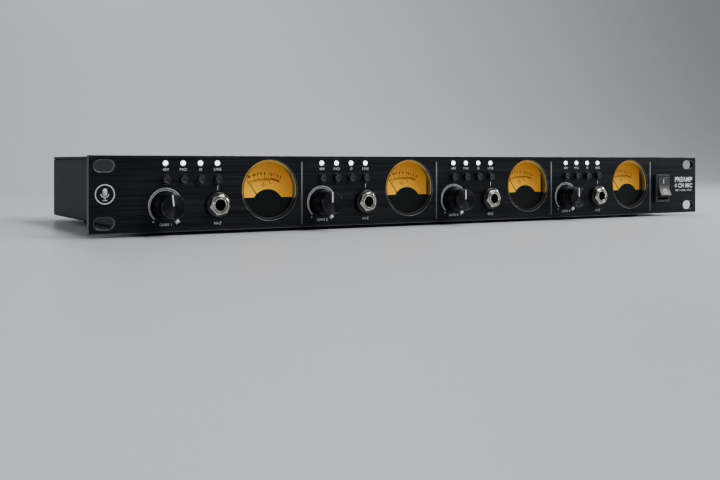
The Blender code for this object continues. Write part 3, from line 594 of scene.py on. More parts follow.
def microphone_sign(bm, x, z):
    """A plain ring with a microphone in it."""
    band(bm, PRINT_Y, 0, 360, 4.95, 5.55, 64, x, z)
    sheet(bm, [(x + v, z + 1.1 - u) for u, v in slot(4.4, 2.5, count=10)], PRINT_Y)
    band(bm, PRINT_Y, 95, 265, 2.05, 2.5, 24, x, z + 0.5)
    sheet(bm, rectangle(0.44, 1.4, 0, x, z - 2.6), PRINT_Y)
    sheet(bm, rectangle(2.6, 0.45, 0, x, z - 3.375), PRINT_Y)


def gain_scale(white, grey, c):
    """A ring that widens inwards up to full gain, with a mark at each end."""
    x, z = offset(axis_on_panel(f"gain_{c}_turn"))

    def widening(t):
        return 9.72 - 1.25 * t**0.7

    for bm, inner, outer in (
        (white, 9.92, 10.22),
        (white, lambda t: 9.5 - 1.3 * t**0.7, widening),
        (grey, widening, 9.92),
    ):
        band(bm, PRINT_Y, -GAIN_SWEEP, GAIN_SWEEP, inner, outer, 96, x, z)
    for angle, inner, outer, wide in ((-141, 10.9, 12.0, 0.5), (143, 10.4, 12.4, 2.6)):
        mark = [(-wide / 2, inner), (wide / 2, inner), (wide / 2, outer), (-wide / 2, outer)]
        across, along = cos(radians(angle)), sin(radians(angle))
        sheet(white, [(x + u * across + v * along, z - u * along + v * across) for u, v in mark], PRINT_Y)
    lettering(white, f"GAIN {c}", 1.7, x + 0.1, z - 10.7, PRINT_Y, spacing=1.05)


def legends():
    white, grey = bmesh.new(), bmesh.new()
    for c in CHANNELS:
        for b in BUTTONS:
            x, _ = offset(middle(f"button_{c}_{b}"))
            lettering(white, LABELS[b], 1.7, x, LAMP_Z - 3.75, PRINT_Y, spacing=1.05)
        gain_scale(white, grey, c)
        x, z = offset(middle(f"hi_z_jack_{c}"))
        sheet(white, rectangle(0.4, 2.8, 0, x, z + 9.8), PRINT_Y)
        lettering(white, "HI-Z", 1.65, x, z - 10.8, PRINT_Y, spacing=1.05)
        x, _ = offset(middle(f"meter_cover_{c}"))
        sheet(grey, rectangle(1.0, 37.9, 0, x + 21.3, -0.85), PRINT_Y)
    microphone_sign(white, -PANEL_SIZE.x / 2 + 9.1, 0.2)
    right = PANEL_SIZE.x / 2 - 14.0
    lettering(white, "PREAMP", 3.9, right, 4.0, PRINT_Y, 0.2, spacing=1.06)
    lettering(white, "4 CH MIC", 3.3, right, -0.8, PRINT_Y, 0.17, spacing=1.06)
    lettering(white, "MIC + LINE + HI-Z", 1.5, right, -4.3, PRINT_Y, 0.03, spacing=1.1)
    piece("panel_legends", white, "ink", at=PANEL_CENTRE, ink=PRINT_THICKNESS)
    piece("panel_dividers", grey, "grey_ink", at=PANEL_CENTRE, ink=PRINT_THICKNESS)


# ---- The controls ----


def lamps(c):
    """Four glowing domes on the rods of one light guide."""
    at = on_panel(f"light_guide_{c}")
    low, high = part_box(f"light_guide_{c}")
    radius, reach, steps = 1.32, 0.85, 10
    quarter = [pi / 2 * i / steps for i in range(steps + 1)]
    dome = [(radius * sin(a), -reach * cos(a)) for a in quarter]
    domes, strip = bmesh.new(), bmesh.new()
    for b in BUTTONS:
        x = (middle(f"button_{c}_{b}").x - at.x) / MM
        turned(domes, [*dome, (radius, 2.6), (0, 2.6)], x, 0, 28)
        turned(strip, [(0, 2.7), (1.45, 2.7), (1.45, 21.4), (0, 21.4)], x, 0, 20)
    plate(strip, [rectangle((high.x - low.x) / MM, 3.2, 0.8)], 21.0, 23.7, "y", 0.2)
    piece(f"lamp_domes_{c}", domes, "lamp", at=at, stands_for=(f"light_guide_{c}",))
    piece(f"light_guide_rods_{c}", strip, "guide", at=at)


def push_button(c, b):
    """A button with a dished face, a flange behind the panel and a stem."""
    name = f"button_{c}_{b}"
    cap = [(0, -2.2), (1.1, -2.24), (1.7, -2.4), (1.95, -2.48), (2.2, -2.42), (2.34, -2.2), (2.35, -1.9)]
    flange = [(2.35, 0), (2.35, 3.2), (3.0, 3.2), (3.0, 4.2)]
    stem = softened(flange + [(1.3, 4.2), (1.3, 18.8)], 0.12, 2, False)
    bm = bmesh.new()
    turned(bm, cap + stem + [(0, 18.8)], segments=40)
    piece(f"{name}_cap", bm, "button", name, on_panel(name), stands_for=(name,))


def joint_middle(joint):
    """The middle of a hinge's range, in radians from where it rests."""
    return radians(sum(JOINTS[joint]["range_deg"]) / 2)


def gain_knob(c):
    """A tapered knob with a cut edge and a pointer, on its shaft."""
    name = f"gain_knob_{c}"
    at = axis_on_panel(f"gain_{c}_turn")
    turn = (0, -joint_middle(f"gain_{c}_turn"), 0)
    face = [(0, -13.78), (2.8, -13.8), (5.9, -13.86), (6.5, -13.9)]
    skirt = [(7.2, -13.15), (7.62, -1.7), (7.5, -1.2), (7.2, -1.02), (6.3, -1.02), (6.2, -1.2), (6.2, -4.6)]
    bm = bmesh.new()
    turned(bm, face + skirt + [(3.0, -4.7), (3.0, 19.4), (0, 19.4)], segments=96)
    piece(f"{name}_body", bm, "knob", name, at, turn, (name,), sharp=28)
    rim = bmesh.new()
    edge = softened([(6.45, -13.85), (6.65, -13.99), (7.26, -13.35), (7.2, -13.05)], 0.06, 2)
    turned(rim, edge, segments=96, closed=True)
    piece(f"{name}_rim", rim, "knob_rim", name, at, turn)
    line = bmesh.new()
    plate(line, [rectangle(0.75, 6.3, 0.25, 0, 3.5)], -13.97, -13.6, "y", 0.04)
    piece(f"{name}_pointer", line, "pointer", name, at, turn)


def jack_nut(c):
    """A hex nut with turned corners, on a dark dress washer."""
    at = on_panel(f"hi_z_jack_{c}")
    flats, back, front, lean = 11.0, -2.45, -4.38, 17.0
    sides = [hexagon(flats, back, lean), trimmed(flats, 5.3, front, 32, lean), (5.3, front), (5.0, front)]
    nut = bmesh.new()
    turned(nut, sides + [(4.46, -3.8), (4.46, back)], segments=72, closed=True, phase=lean)
    stands_for = (f"jack_nut_{c}",)
    piece(f"jack_nut_{c}_hex", nut, "nickel", at=at, stands_for=stands_for)
    collar = bmesh.new()
    ring = [(4.6, -2.45), (6.75, -2.5), (7.15, -2.32), (7.36, -1.9)]
    ring += [(7.38, -0.4), (7.2, -0.05), (4.6, -0.05)]
    turned(collar, softened(ring, 0.12, 2), segments=72, closed=True)
    piece(f"jack_nut_{c}_collar", collar, "collar", at=at)


def instrument_jack(c):
    """A threaded bushing in a moulded body, with one spring contact in its bore."""
    at = on_panel(f"hi_z_jack_{c}")
    mouth = [(3.2, 24.0), (3.2, -4.5), (3.4, -4.78), (3.8, -4.8), (4.0, -4.6)]
    threads = []
    for i in range(10):
        y = -4.1 + i * 0.42
        threads += [(4.12, y), (4.38, y + 0.21)]
    tail = [(4.3, 3.2), (4.3, 8.0), (3.7, 8.0), (3.7, 24.0)]
    bush = bmesh.new()
    turned(bush, mouth + threads + tail, segments=72, closed=True)
    piece(f"hi_z_jack_{c}_bushing", bush, "nickel", at=at)
    body = bmesh.new()
    plate(body, [rectangle(14.4, 14.4, 0.8), circle(3.9, count=40)], 3.25, 26.0, "y", 0.3)
    plate(body, [rectangle(14.4, 14.4, 0.8)], 26.0, 28.0, "y", 0.3)
    stands_for = (f"hi_z_jack_{c}",)
    piece(f"hi_z_jack_{c}_body", body, "plastic", at=at, stands_for=stands_for)
    under = [(11.0, 3.1), (15.0, 2.7), (17.0, 1.9), (18.5, 2.6), (20.0, 3.1)]
    over = [(20.0, 3.3), (18.3, 2.85), (17.0, 2.15), (15.2, 2.9), (11.0, 3.3)]
    spring = bmesh.new()
    prism(spring, under + over, -0.9, 0.9, "x")
    piece(f"hi_z_jack_{c}_contact", spring, "brass", at=at)


def power_switch():
    """The switch's bezel, its body behind the panel and its two blades."""
    at = axis_on_panel("power_rock")
    bezel = bmesh.new()
    plate(bezel, [rectangle(14.8, 21.2, 1.3), rectangle(11.8, 17.85, 0.6)], -2.28, -0.02, "y", 0.4, 3)
    plate(bezel, [rectangle(13.2, 18.8, 0.6), rectangle(11.85, 17.85, 0.5)], -0.4, 8.0, "y", 0.15)
    plate(bezel, [rectangle(13.2, 18.8, 0.6)], 8.0, 16.0, "y", 0.2)
    stands_for = ("power_switch_frame",)
    piece("power_switch_bezel", bezel, "plastic", at=at, stands_for=stands_for)
    blades = bmesh.new()
    blade = [rectangle(4.8, 7.8, 0.5, 0, 19.9), circle(0.9, 0, 21.5, 16)]
    for z in (-4.5, 4.5):
        plate(blades, blade, z - 0.4, z + 0.4, "z", 0.1)
    piece("power_switch_blades", blades, "brass", at=at)


def power_rocker():
    """The rocker, with a dished face, and the on and off marks that follow the dish."""
    pivot = Vector(JOINTS["power_rock"]["pos_m"])
    tilt = (-joint_middle("power_rock"), 0, 0)
    half, dish, middle_y = 7.15, 1.3, -5.6
    radius = (half**2 + dish**2) / (2 * dish)

    def dished(z):
        return middle_y - radius + sqrt(radius**2 - z**2)

    face = [(dished(z), z) for z in [half * (i / 14 - 1) for i in range(29)]]
    back = [(-1.0, 8.2), (0.8, 8.1), (3.0, 1.5), (3.0, -1.5), (0.8, -8.1), (-1.0, -8.2)]
    rocker = bmesh.new()
    prism(rocker, face + back, -5.6, 5.6, "x")
    body = "power_rocker"
    piece("power_rocker_cap", rocker, "plastic", body, pivot, tilt, (body,), 0.4, 25)

    marks = bmesh.new()
    for i in range(8):
        sheet(marks, rectangle(0.8, 0.45, 0, 0, 2.6 + 0.4 * i), 0)
    band(marks, 0, 0, 360, 1.25, 1.95, 40, 0, -3.8)
    for vert in marks.verts:
        vert.co.y = dished(vert.co.z) - 0.03
    piece("power_rocker_marks", marks, "ink", body, pivot, tilt, ink=0.03)


# ---- The meters ----

# Where each printed figure is, in degrees from upright; None is a mark with no figure.
SCALE = (
    (-28, "20"), (-18.5, "10"), (-11, "7"), (-4.5, "5"), (2.5, "3"), (6.5, None),
    (11, "1"), (15.8, "0"), (21.2, "1"), (27, "2"), (33.5, "3"),
)
SCALE_START, ZERO, SCALE_END = -33, 15.8, 36
SCALE_RADIUS = 26.0
SCALE_CENTRE = (0.4, -19.4)
CARD_PRINT_Y = 9.77
MASK_EDGE = -4.6
PIVOT_Z = -10.2
METER_BOX = (42.0, 37.4, 1.5)
NEEDLE_REST = -36.0  # degrees from upright


def meter_front(c):
    """The clear cover: its pane, its round boss through the panel, its wall with the card's amber light
    painted on, and its black mask.
    """
    at = on_panel(f"meter_cover_{c}")
    pane = bmesh.new()
    plate(pane, [rectangle(41.8, 37.2, 1.5)], 3.6, 4.5, "y", 0.1)
    stands_for = (f"meter_cover_{c}",)
    piece(f"meter_{c}_pane", pane, "pane", at=at, stands_for=stands_for)

    boss = bmesh.new()
    edge = [(16.6, 3.15), (16.6, 1.1), (17.2, 1.0), (17.7, 0.82), (17.98, 0.92), (17.98, 3.15)]
    turned(boss, softened(edge, 0.15, 2), segments=128, closed=True)
    piece(f"meter_{c}_boss", boss, "rim", at=at)

    wall = bmesh.new()
    # The wall carries the card's amber light, painted into its colour.
    plate(wall, [rectangle(*METER_BOX), rectangle(39.4, 35.0, 1.2)], 4.6, 9.7, "y", 0.15)
    piece(f"meter_{c}_wall", wall, "well", at=at)

    rise, hump, half, base = 5.1, 10.7, 20.9, -18.6
    centre = MASK_EDGE + rise - hump
    bump = [(x, z) for x, z in arc(hump, -90, 90, 60, 0, centre) if z > MASK_EDGE]
    outline = [(-half, base), (-half, MASK_EDGE), *bump, (half, MASK_EDGE), (half, base)]
    mask = bmesh.new()
    plate(mask, [outline], 3.22, 3.52, "y", 0.05, 1)
    piece(f"meter_{c}_mask", mask, "gloss", at=at)


def reach(a):
    """How far from the needle's axis the scale line is, at an angle in radians."""
    u, v = SCALE_CENTRE[0], PIVOT_Z - SCALE_CENTRE[1]
    along = u * sin(a) - v * cos(a)
    return along + sqrt(along**2 - u**2 - v**2 + SCALE_RADIUS**2)


def polar(a, radius, side=0.0):
    """A point on the dial, out from the needle's axis and then to one side."""
    return side * cos(a) + radius * sin(a), PIVOT_Z - side * sin(a) + radius * cos(a)


def scale_line(bm, first, last, inner, outer, count):
    rows = []
    for i in range(count + 1):
        a = radians(first + (last - first) * i / count)
        ends = (polar(a, reach(a) + inner), polar(a, reach(a) + outer))
        rows.append([(u, CARD_PRINT_Y, v) for u, v in ends])
    ribbon(bm, rows)


def scale_mark(bm, degrees, inner, outer, wide):
    a = radians(degrees)
    low, high, half = reach(a) + inner, reach(a) + outer, wide / 2
    corners = ((low, -half), (low, half), (high, half), (high, -half))
    sheet(bm, [polar(a, radius, side) for radius, side in corners], CARD_PRINT_Y)


def meter_dial(c):
    """The dial card with its printed scale, black up to zero and red past it."""
    at = on_panel(f"meter_cover_{c}")
    card = bmesh.new()
    plate(card, [rectangle(41.4, 36.8, 1.0), circle(1.4, 0, PIVOT_Z, 24)], 9.8, 10.6, "y", 0.1)
    stands_for = (f"meter_dial_{c}",)
    piece(f"meter_{c}_dial", card, "dial", at=at, stands_for=stands_for)

    black, red = bmesh.new(), bmesh.new()
    scale_line(black, SCALE_START, ZERO, -0.12, 0.12, 40)
    scale_line(red, ZERO, SCALE_END, -0.1, 0.75, 24)
    for degrees, text in SCALE:
        bm = red if degrees > ZERO else black
        scale_mark(bm, degrees, 0, 1.9 if text else 1.3, 0.26)
        if text:
            a = radians(degrees)
            lettering(bm, text, 1.55, *polar(a, reach(a) + 3.1), CARD_PRINT_Y, 0.13)
    for i in range(21):
        long_mark = i % 5 == 0
        degrees = SCALE_START + (ZERO - SCALE_START) * (i / 20) ** 0.85
        scale_mark(black, degrees, -1.5 if long_mark else -1.2, 0, 0.32)
    for x, text in ((-9.0, "0"), (0.2, "50"), (5.0, "100")):
        a = atan2(x, 16)
        lettering(black, text, 0.9, *polar(a, reach(a) - 2.4), CARD_PRINT_Y, 0.02)
    lettering(black, "VU", 1.8, 0, PIVOT_Z + 12.9, CARD_PRINT_Y, 0.03)
    piece(f"meter_{c}_scale", black, "dial_ink", at=at, ink=PRINT_THICKNESS)
    piece(f"meter_{c}_red_zone", red, "dial_red", at=at, ink=PRINT_THICKNESS)


def meter_needle(c):
    """The needle and its boss, and the moving coil on the same staff."""
    name = f"meter_needle_{c}"
    pivot = axis_on_panel(f"meter_{c}_swing")
    turn = (0, radians(NEEDLE_REST), 0)
    arm = bmesh.new()
    outline = [(-0.42, -4.4), (0.42, -4.4), (0.24, 19.9), (-0.24, 19.9)]
    plate(arm, [softened(outline, 0.1, 2)], 7.52, 7.88, "y", 0.08, 1)
    boss = [(0, 7.25), (1.6, 7.25), (1.8, 7.45), (1.8, 8.6), (0.8, 8.7), (0.8, 11.6), (0, 11.6)]
    turned(arm, boss, segments=32)
    piece(f"{name}_arm", arm, "needle", name, pivot, turn, (name,))
    coil = bmesh.new()
    profile = [(0, 11.7), (4.1, 11.7), (4.1, 16.9), (0.8, 16.9), (0.8, 20.9), (0, 20.9)]
    turned(coil, softened(profile, 0.3, 2, False), segments=32)
    piece(f"{name}_coil", coil, "brass", name, pivot, turn)


def meter_case(c):
    case = bmesh.new()
    plate(case, [rectangle(*METER_BOX), rectangle(39.6, 35.0, 1.2)], 10.95, 22.0, "y", 0.2)
    plate(case, [rectangle(*METER_BOX)], 21.9, 23.2, "y", 0.3)
    at, stands_for = on_panel(f"meter_cover_{c}"), (f"meter_case_{c}",)
    piece(f"meter_{c}_case", case, "plastic", at=at, stands_for=stands_for)


# ---- The case ----

CHASSIS_LOW, CHASSIS_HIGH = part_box("chassis")
CASE_AT = Vector(((CHASSIS_LOW.x + CHASSIS_HIGH.x) / 2, FRONT, 0))
CASE_HALF = (CHASSIS_HIGH.x - CHASSIS_LOW.x) / 2 / MM
CASE_DEEP = (CHASSIS_HIGH.y - FRONT) / MM
CASE_BASE = CHASSIS_LOW.z / MM
SIDE_TOP = CHASSIS_HIGH.z / MM
REAR_AT = Vector((CASE_AT.x, CHASSIS_HIGH.y, 0))
XLR_X = [60.0 - 241.3 + 46.0 * i for i in range(8)]
XLR_Z = 24.0
INLET = middle("mains_inlet")
INLET_X, INLET_Z = (INLET.x - CASE_AT.x) / MM, INLET.z / MM
TRAY_SHEET = 1.2
TRAY_FRONT = 3.25
LID_SHEET = 1.4


def tray():
    """The folded tray with its two front flanges, and the stands of the main board."""
    w, t, brim = CASE_HALF, TRAY_SHEET, SIDE_TOP - 0.3
    floor = CASE_BASE + t
    outer = softened([(-w, brim), (-w, CASE_BASE), (w, CASE_BASE), (w, brim)], 1.8, 6, False)
    inner = softened([(w - t, brim), (w - t, floor), (t - w, floor), (t - w, brim)], 0.7, 4, False)
    bm = bmesh.new()
    prism(bm, outer + inner, TRAY_FRONT, CASE_DEEP - 0.02, "y")
    for side in (-1, 1):
        flange = rectangle(3.4, SIDE_TOP - CASE_BASE - 3, 0.2, side * (w - 2.9), (SIDE_TOP + CASE_BASE) / 2)
        plate(bm, [flange], TRAY_FRONT, TRAY_FRONT + t, "y", 0.1)
    for x in (-0.86 * w, -0.07 * w, 0.72 * w):
        for y in (102.0, 157.0):
            turned_upright(bm, [(0, floor), (3, floor), (3, 10.3), (0, 10.3)], x, y, segments=24)
    stands_for = ("chassis",)
    piece("chassis_tray", bm, "chassis", at=CASE_AT, stands_for=stands_for)


def rear_wall():
    """The rear wall, cut out for the connectors, with its screws and its legends."""
    w, t = CASE_HALF, TRAY_SHEET
    height = SIDE_TOP - CASE_BASE - 1.3
    loops = [rectangle(2 * (w - t) - 0.1, height, 0.3, 0, CASE_BASE + 1.25 + height / 2)]
    loops += [circle(11.85, x, XLR_Z, 48) for x in XLR_X]
    loops.append(rectangle(27.6, 20.6, 1.5, INLET_X, INLET_Z))
    rear = bmesh.new()
    plate(rear, loops, -t, 0, "y", 0.15, 1)
    piece("chassis_rear_wall", rear, "chassis", at=REAR_AT)

    screws = bmesh.new()
    for x in XLR_X:
        for side in (-1, 1):
            rear_screw(screws, x + side * 12.8, XLR_Z + side * 8.6, 1.6, 0, 0.9)
    for side in (-1, 1):
        rear_screw(screws, INLET_X + side * 17.0, INLET_Z, 1.9, 2.25, 0.02)
        for z in (9.0, 39.2):
            rear_screw(screws, side * (w - 5.0), z, 2.0, 0, 1.1)
    for x in (-0.4 * w, 0.4 * w):
        rear_screw(screws, x, 40.4, 2.0, 0, 1.1)
    piece("rear_screws", screws, "screw", at=REAR_AT)

    text, print_y = bmesh.new(), 0.03
    for i, x in enumerate(XLR_X):
        label = f"MIC IN {i // 2 + 1}" if i % 2 == 0 else f"LINE OUT {i // 2 + 1}"
        lettering(text, label, 1.9, x, 9.0, print_y, 0.05, turned_round=True)
    lettering(text, "AC MAINS", 1.9, INLET_X, 8.6, print_y, 0.05, turned_round=True)
    for left, right in ((1, 2), (3, 4), (5, 6)):
        sheet(text, rectangle(0.35, 26, 0, (XLR_X[left] + XLR_X[right]) / 2, XLR_Z), print_y)
    piece("rear_legends", text, "ink", at=REAR_AT, ink=PRINT_THICKNESS)


def lid():
    """The lid with two banks of vents, a lip inside each of the tray's sides, and its screws."""
    w, top = CASE_HALF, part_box("top_cover")[1].z / MM
    base = top - LID_SHEET
    loops = [[(-w, TRAY_FRONT), (w, TRAY_FRONT), (w, CASE_DEEP), (-w, CASE_DEEP)]]
    for bank in (-0.2, 0.2):
        for i in range(6):
            x, y = bank * PANEL_SIZE.x + (i - 2.5) * 9, 0.62 * CASE_DEEP
            loops.append([(x + v, y + u) for u, v in slot(34, 2.5, count=8)])
    holes = [(x, y) for x in (-w + 7, w - 7) for y in (12.0, 95.0, 178.0)]
    holes += [(x, y) for y in (178.0, 12.0) for x in (-70, 70)]
    loops += [circle(3.0, x, y, 32) for x, y in holes]
    bm = bmesh.new()
    plate(bm, loops, base, top, "z", 0.22, 2)
    for side in (-1, 1):
        lip = side * (w - 1.5)
        box(bm, (side * (w - 2.7), 8.0, base - 7.0), (lip, CASE_DEEP - 2.0, base + 0.1))
        # a tab closes the rear corner of the gap that the lid leaves over the tray
        tab = side * (w - 0.3)
        box(bm, (tab, CASE_DEEP - 6.0, SIDE_TOP - 0.35), (lip, CASE_DEEP - 0.15, base + 0.1))
    stands_for = ("top_cover",)
    piece("lid_sheet", bm, "chassis", at=CASE_AT, stands_for=stands_for)
    cone = [(0, 1.3), (1.4, 1.3), (2.85, 0.25), (2.85, 0.05), (2.7, 0.0)]
    head = cone + [hexagon(2.6, 0.0), hexagon(2.6, 0.9), (0, 0.9)]
    screws = bmesh.new()
    for x, y in holes:
        turned_upright(screws, head, x, y, top - 0.06, flip=True, segments=36)
    piece("lid_screws", screws, "screw", at=CASE_AT)


def foot(name):
    """A rubber ring around the screw that holds it."""
    centre = middle(name)
    at = (centre.x, centre.y, 0)
    rubber, screw = bmesh.new(), bmesh.new()
    ring = softened([(2.6, 0.0), (6.1, 0.0), (7.0, 1.0), (7.0, 3.1), (2.6, 3.1)], 0.35, 3)
    turned_upright(rubber, ring, segments=48, closed=True)
    piece(f"{name}_rubber", rubber, "rubber", at=at, stands_for=(name,))
    head = [(0, 1.3), (0.8, 1.2), (2.1, 1.4), (2.4, 2.0), (2.4, 3.0), (0, 3.0)]
    turned_upright(screw, head, segments=32)
    piece(f"{name}_screw", screw, "screw", at=at)


# ---- Rear connectors and the boards ----


def xlr(i):
    """A three-pin connector: an input with three holes and a latch, or an output with pins in a cup."""
    at = REAR_AT + Vector((XLR_X[i], 0, XLR_Z)) * MM
    contacts = [(3.6 * sin(a), -3.6 * cos(a)) for a in (radians(120 * k) for k in range(3))]
    shell, core, metal = bmesh.new(), bmesh.new(), bmesh.new()
    if i % 2 == 0:
        ring = [(8.6, 0.9), (8.9, 1.35), (11.2, 1.45), (11.55, 1.1), (11.55, -1.2), (8.6, -1.2)]
        holes = [circle(1.35, x, z, 20) for x, z in contacts]
        plate(core, [circle(8.5, count=64), *holes], -3.0, 0.6, "y", 0.2)
        plate(core, [circle(8.5, count=64)], -12.0, -3.0, "y", 0.2)
        plate(metal, [rectangle(5.0, 3.4, 0.8, 0, 9.9)], 1.1, 1.5, "y", 0.12)
    else:
        ring = [(8.0, -11.0), (8.0, 1.2), (8.3, 1.5), (11.2, 1.5), (11.55, 1.15), (11.55, -11.0)]
        plate(core, [circle(7.95, count=64)], -13.0, -10.9, "y", 0.2)
        pin = softened([(0, -0.9), (0.85, -0.9), (1.2, -1.7), (1.2, -11.5), (0, -11.5)], 0.3, 2, False)
        for x, z in contacts:
            turned(metal, pin, x, z, 20)
    turned(shell, softened(ring, 0.2, 2), segments=64, closed=True)
    piece(f"xlr_{i + 1}_shell", shell, "plastic", at=at)
    piece(f"xlr_{i + 1}_insert", core, "button", at=at)
    piece(f"xlr_{i + 1}_contacts", metal, "nickel", at=at)


def mains_inlet():
    at = REAR_AT + Vector((INLET_X, 0, INLET_Z)) * MM
    w, h, cut = 11.7, 7.7, 4.0
    mouth = softened([(-w, -h), (w, -h), (w, h - cut), (w - cut, h), (-w + cut, h), (-w, h - cut)], 0.8, 3)
    bm = bmesh.new()
    rim = [rectangle(40.0, 25.0, 2.5), mouth, circle(1.7, -17.0, 0, 24), circle(1.7, 17.0, 0, 24)]
    plate(bm, rim, 0.05, 2.28, "y", 0.35)
    plate(bm, [rectangle(27.0, 20.0, 1.5), mouth], -18.0, 0.2, "y", 0.1)
    plate(bm, [rectangle(27.0, 20.0, 1.5)], -24.0, -17.9, "y", 0.3)
    piece("mains_inlet_body", bm, "plastic", at=at, stands_for=("mains_inlet",))
    pins = bmesh.new()
    for x, z in ((-7.0, -1.5), (0, 2.5), (7.0, -1.5)):
        plate(pins, [rectangle(2.0, 4.0, 0.4, x, z)], -18.4, -2.0, "y", 0.3)
    piece("mains_inlet_blades", pins, "nickel", at=at)


def capacitor(bm, x, y, base, r, height):
    """A can with a groove near its base and a rim around its top."""
    top = base + height
    groove = [(r, base + 0.8), (r - 0.25, base + 1.3), (r, base + 1.8)]
    rim = [(r, top - 0.4), (r - 0.5, top), (r - 0.9, top - 0.25), (0, top - 0.25)]
    turned_upright(bm, [(0, base), (r, base), *groove, *rim], x, y, segments=28)


def main_board():
    """The audio and power board, seen only through the vents and the connectors."""
    top = 12.2
    bm = bmesh.new()
    plate(bm, [[(-207.3, 96.0), (166.7, 96.0), (166.7, 181.0), (-207.3, 181.0)]], 10.6, top, "z", 0.1)
    stands_for = ("main_board",)
    piece("main_board_sheet", bm, "board", at=CASE_AT, stands_for=stands_for)
    cans, caps, blocks = bmesh.new(), bmesh.new(), bmesh.new()
    for c in range(4):
        x = -177.3 + 72 * c
        plate(cans, [rectangle(22, 24, 1.5, x, 130.0)], top, 34.0, "z", 0.6)
        for side in (-1, 1):
            capacitor(caps, x + side * 20, 108.0, top, 4.0, 15.5)
            for k in range(3):
                capacitor(caps, x + side * 20, 122.0 + 8 * k, top, 2.5, 8.0)
        for k in range(4):
            plate(blocks, [rectangle(6.2, 9.6, 0.3, x - 12 + 8 * k, 151.5)], top, top + 3.4, "z", 0.2)
    plate(cans, [rectangle(56, 44, 2.0, 132.7, 126.0)], top, 36.0, "z", 0.8)
    for x in XLR_X:
        plate(blocks, [rectangle(25, 21.3, 1.0, x, 174.85)], top, 38.0, "z", 0.4)
    piece("main_board_cans", cans, "can", at=CASE_AT)
    piece("main_board_capacitors", caps, "sleeve", at=CASE_AT)
    piece("main_board_blocks", blocks, "plastic", at=CASE_AT)


def in_case(point):
    """A point's x in millimetres from the middle of the case, and its height."""
    return (point.x - CASE_AT.x) / MM, point.z / MM


def control_board():
    """The board behind the front panel, with the potentiometers and the buttons' switches."""
    low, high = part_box("control_board")
    size = (high - low) / MM
    centre = in_case((low + high) / 2)
    sheet_loops = [rectangle(size.x, size.z, 0.5, *centre)]
    bush = [(3.3, 24.0), (3.3, -3.3), (3.9, -3.4), (4.1, -3.2), (4.1, 13.0)]
    pot = [*bush, (7.8, 13.0), (8.2, 13.4), (8.2, 24.0)]
    bm, pots, switches = bmesh.new(), bmesh.new(), bmesh.new()
    for c in CHANNELS:
        sheet_loops.append(rectangle(15.4, 15.4, 0.3, *in_case(middle(f"hi_z_jack_{c}"))))
        turned(pots, pot, *in_case(axis_on_panel(f"gain_{c}_turn")), 40, closed=True)
        for b in BUTTONS:
            at = in_case(middle(f"button_{c}_{b}"))
            plate(switches, [rectangle(6.0, 6.0, 0.4, *at)], 21.0, 24.1, "y", 0.2)
            plate(switches, [rectangle(2.0, 2.0, 0.2, *at)], 20.4, 21.1, "y", 0.1)
    plate(bm, sheet_loops, 24.0, 25.6, "y", 0.1)
    stands_for = ("control_board",)
    piece("control_board_sheet", bm, "board", at=CASE_AT, stands_for=stands_for)
    piece("potentiometers", pots, "can", at=CASE_AT)
    piece("button_switches", switches, "plastic", at=CASE_AT)


# ---- The studio ----


def stage_finish(name, colour, roughness):
    f = Finish(name, Roughness=roughness)
    grain = f.noise(9.0, 4.0)
    f.link(f.blend(f.span(grain, 0.0, 1.0), [0.985 * c for c in colour], colour), "Base Color")
    return f.material


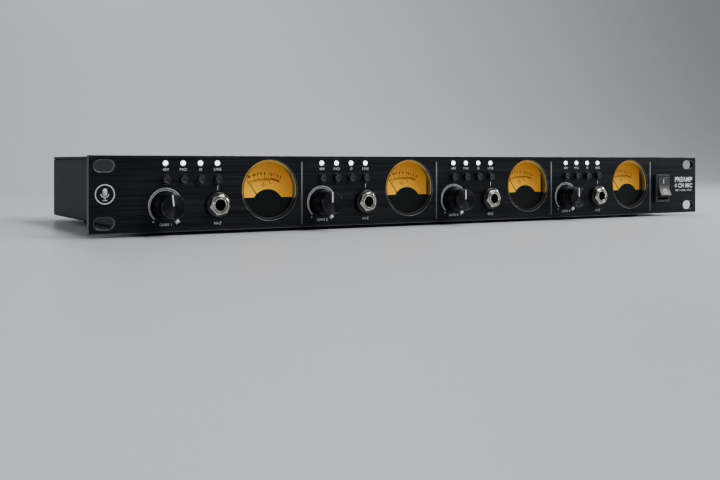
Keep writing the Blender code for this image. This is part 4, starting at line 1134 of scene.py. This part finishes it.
def studio():
    """A pale floor that curves up at the back, a soft sky and four lights. Sizes are in metres."""
    bm = bmesh.new()
    profile = softened([(-2.5, 0.0), (1.6, 0.0), (1.6, 3.0)], 0.9, 24, False)
    ribbon(bm, [[(x, y, z) for x in (-4.0, 4.0)] for y, z in profile])
    bmesh.ops.recalc_face_normals(bm, faces=bm.faces)
    mesh = bpy.data.meshes.new("floor")
    bm.to_mesh(mesh)
    bm.free()
    mesh.shade_smooth()
    mesh.materials.append(stage_finish("pale_floor", (0.6, 0.61, 0.63), 0.32))
    floor = bpy.data.objects.new("floor", mesh)
    bpy.context.scene.collection.objects.link(floor)

    world = bpy.data.worlds.new("soft_grey")
    world.use_nodes = True
    background = world.node_tree.nodes["Background"]
    background.inputs["Color"].default_value = (0.8, 0.88, 1.0, 1)
    background.inputs["Strength"].default_value = 0.28
    bpy.context.scene.world = world

    for name, place, aim, size, power, colour in (
        ("key", (0.72, -1.05, 1.05), (0, 0, 0.02), (1.0, 0.7), 17.0, (1.0, 0.99, 0.97)),
        ("right", (1.4, -0.45, 0.62), (0, 0, 0.02), (0.4, 0.4), 9.0, (1.0, 0.99, 0.97)),
        ("left", (-1.3, -0.7, 0.35), (-0.2, 0, 0.02), (0.5, 0.5), 3.0, (0.96, 0.98, 1.0)),
        ("top", (0.45, 0.0, 1.25), (0.3, 0, 0.02), (1.9, 0.3), 16.0, (0.95, 0.98, 1.0)),
    ):
        light = bpy.data.lights.new(name, "AREA")
        light.shape = "RECTANGLE"
        light.size, light.size_y = size
        light.energy = power
        light.color = colour
        obj = bpy.data.objects.new(name, light)
        obj.location = place
        obj.rotation_euler = (Vector(aim) - Vector(place)).to_track_quat("-Z", "Y").to_euler()
        bpy.context.scene.collection.objects.link(obj)


def camera():
    """The photo's camera, fitted to the known sizes of a rack panel."""
    lens = bpy.data.cameras.new("camera")
    lens.sensor_width = 36.0
    lens.lens = 47.92
    lens.shift_y = -0.108
    lens.clip_start, lens.clip_end = 0.01, 20.0
    obj = bpy.data.objects.new("camera", lens)
    obj.location = (-0.3783, FRONT - 0.5239, PANEL_LOW.z + 0.0397)
    obj.rotation_euler = (radians(90), 0, radians(-30.49))
    bpy.context.scene.collection.objects.link(obj)
    bpy.context.scene.camera = obj


def main():
    front_panel()
    legends()
    for c in CHANNELS:
        lamps(c)
        for b in BUTTONS:
            push_button(c, b)
        gain_knob(c)
        jack_nut(c)
        instrument_jack(c)
        meter_front(c)
        meter_dial(c)
        meter_needle(c)
        meter_case(c)
    power_switch()
    power_rocker()
    tray()
    rear_wall()
    lid()
    for name in ("foot_front_left", "foot_front_right", "foot_rear_left", "foot_rear_right"):
        foot(name)
    for i in range(8):
        xlr(i)
    mains_inlet()
    main_board()
    control_board()
    studio()
    camera()


main()
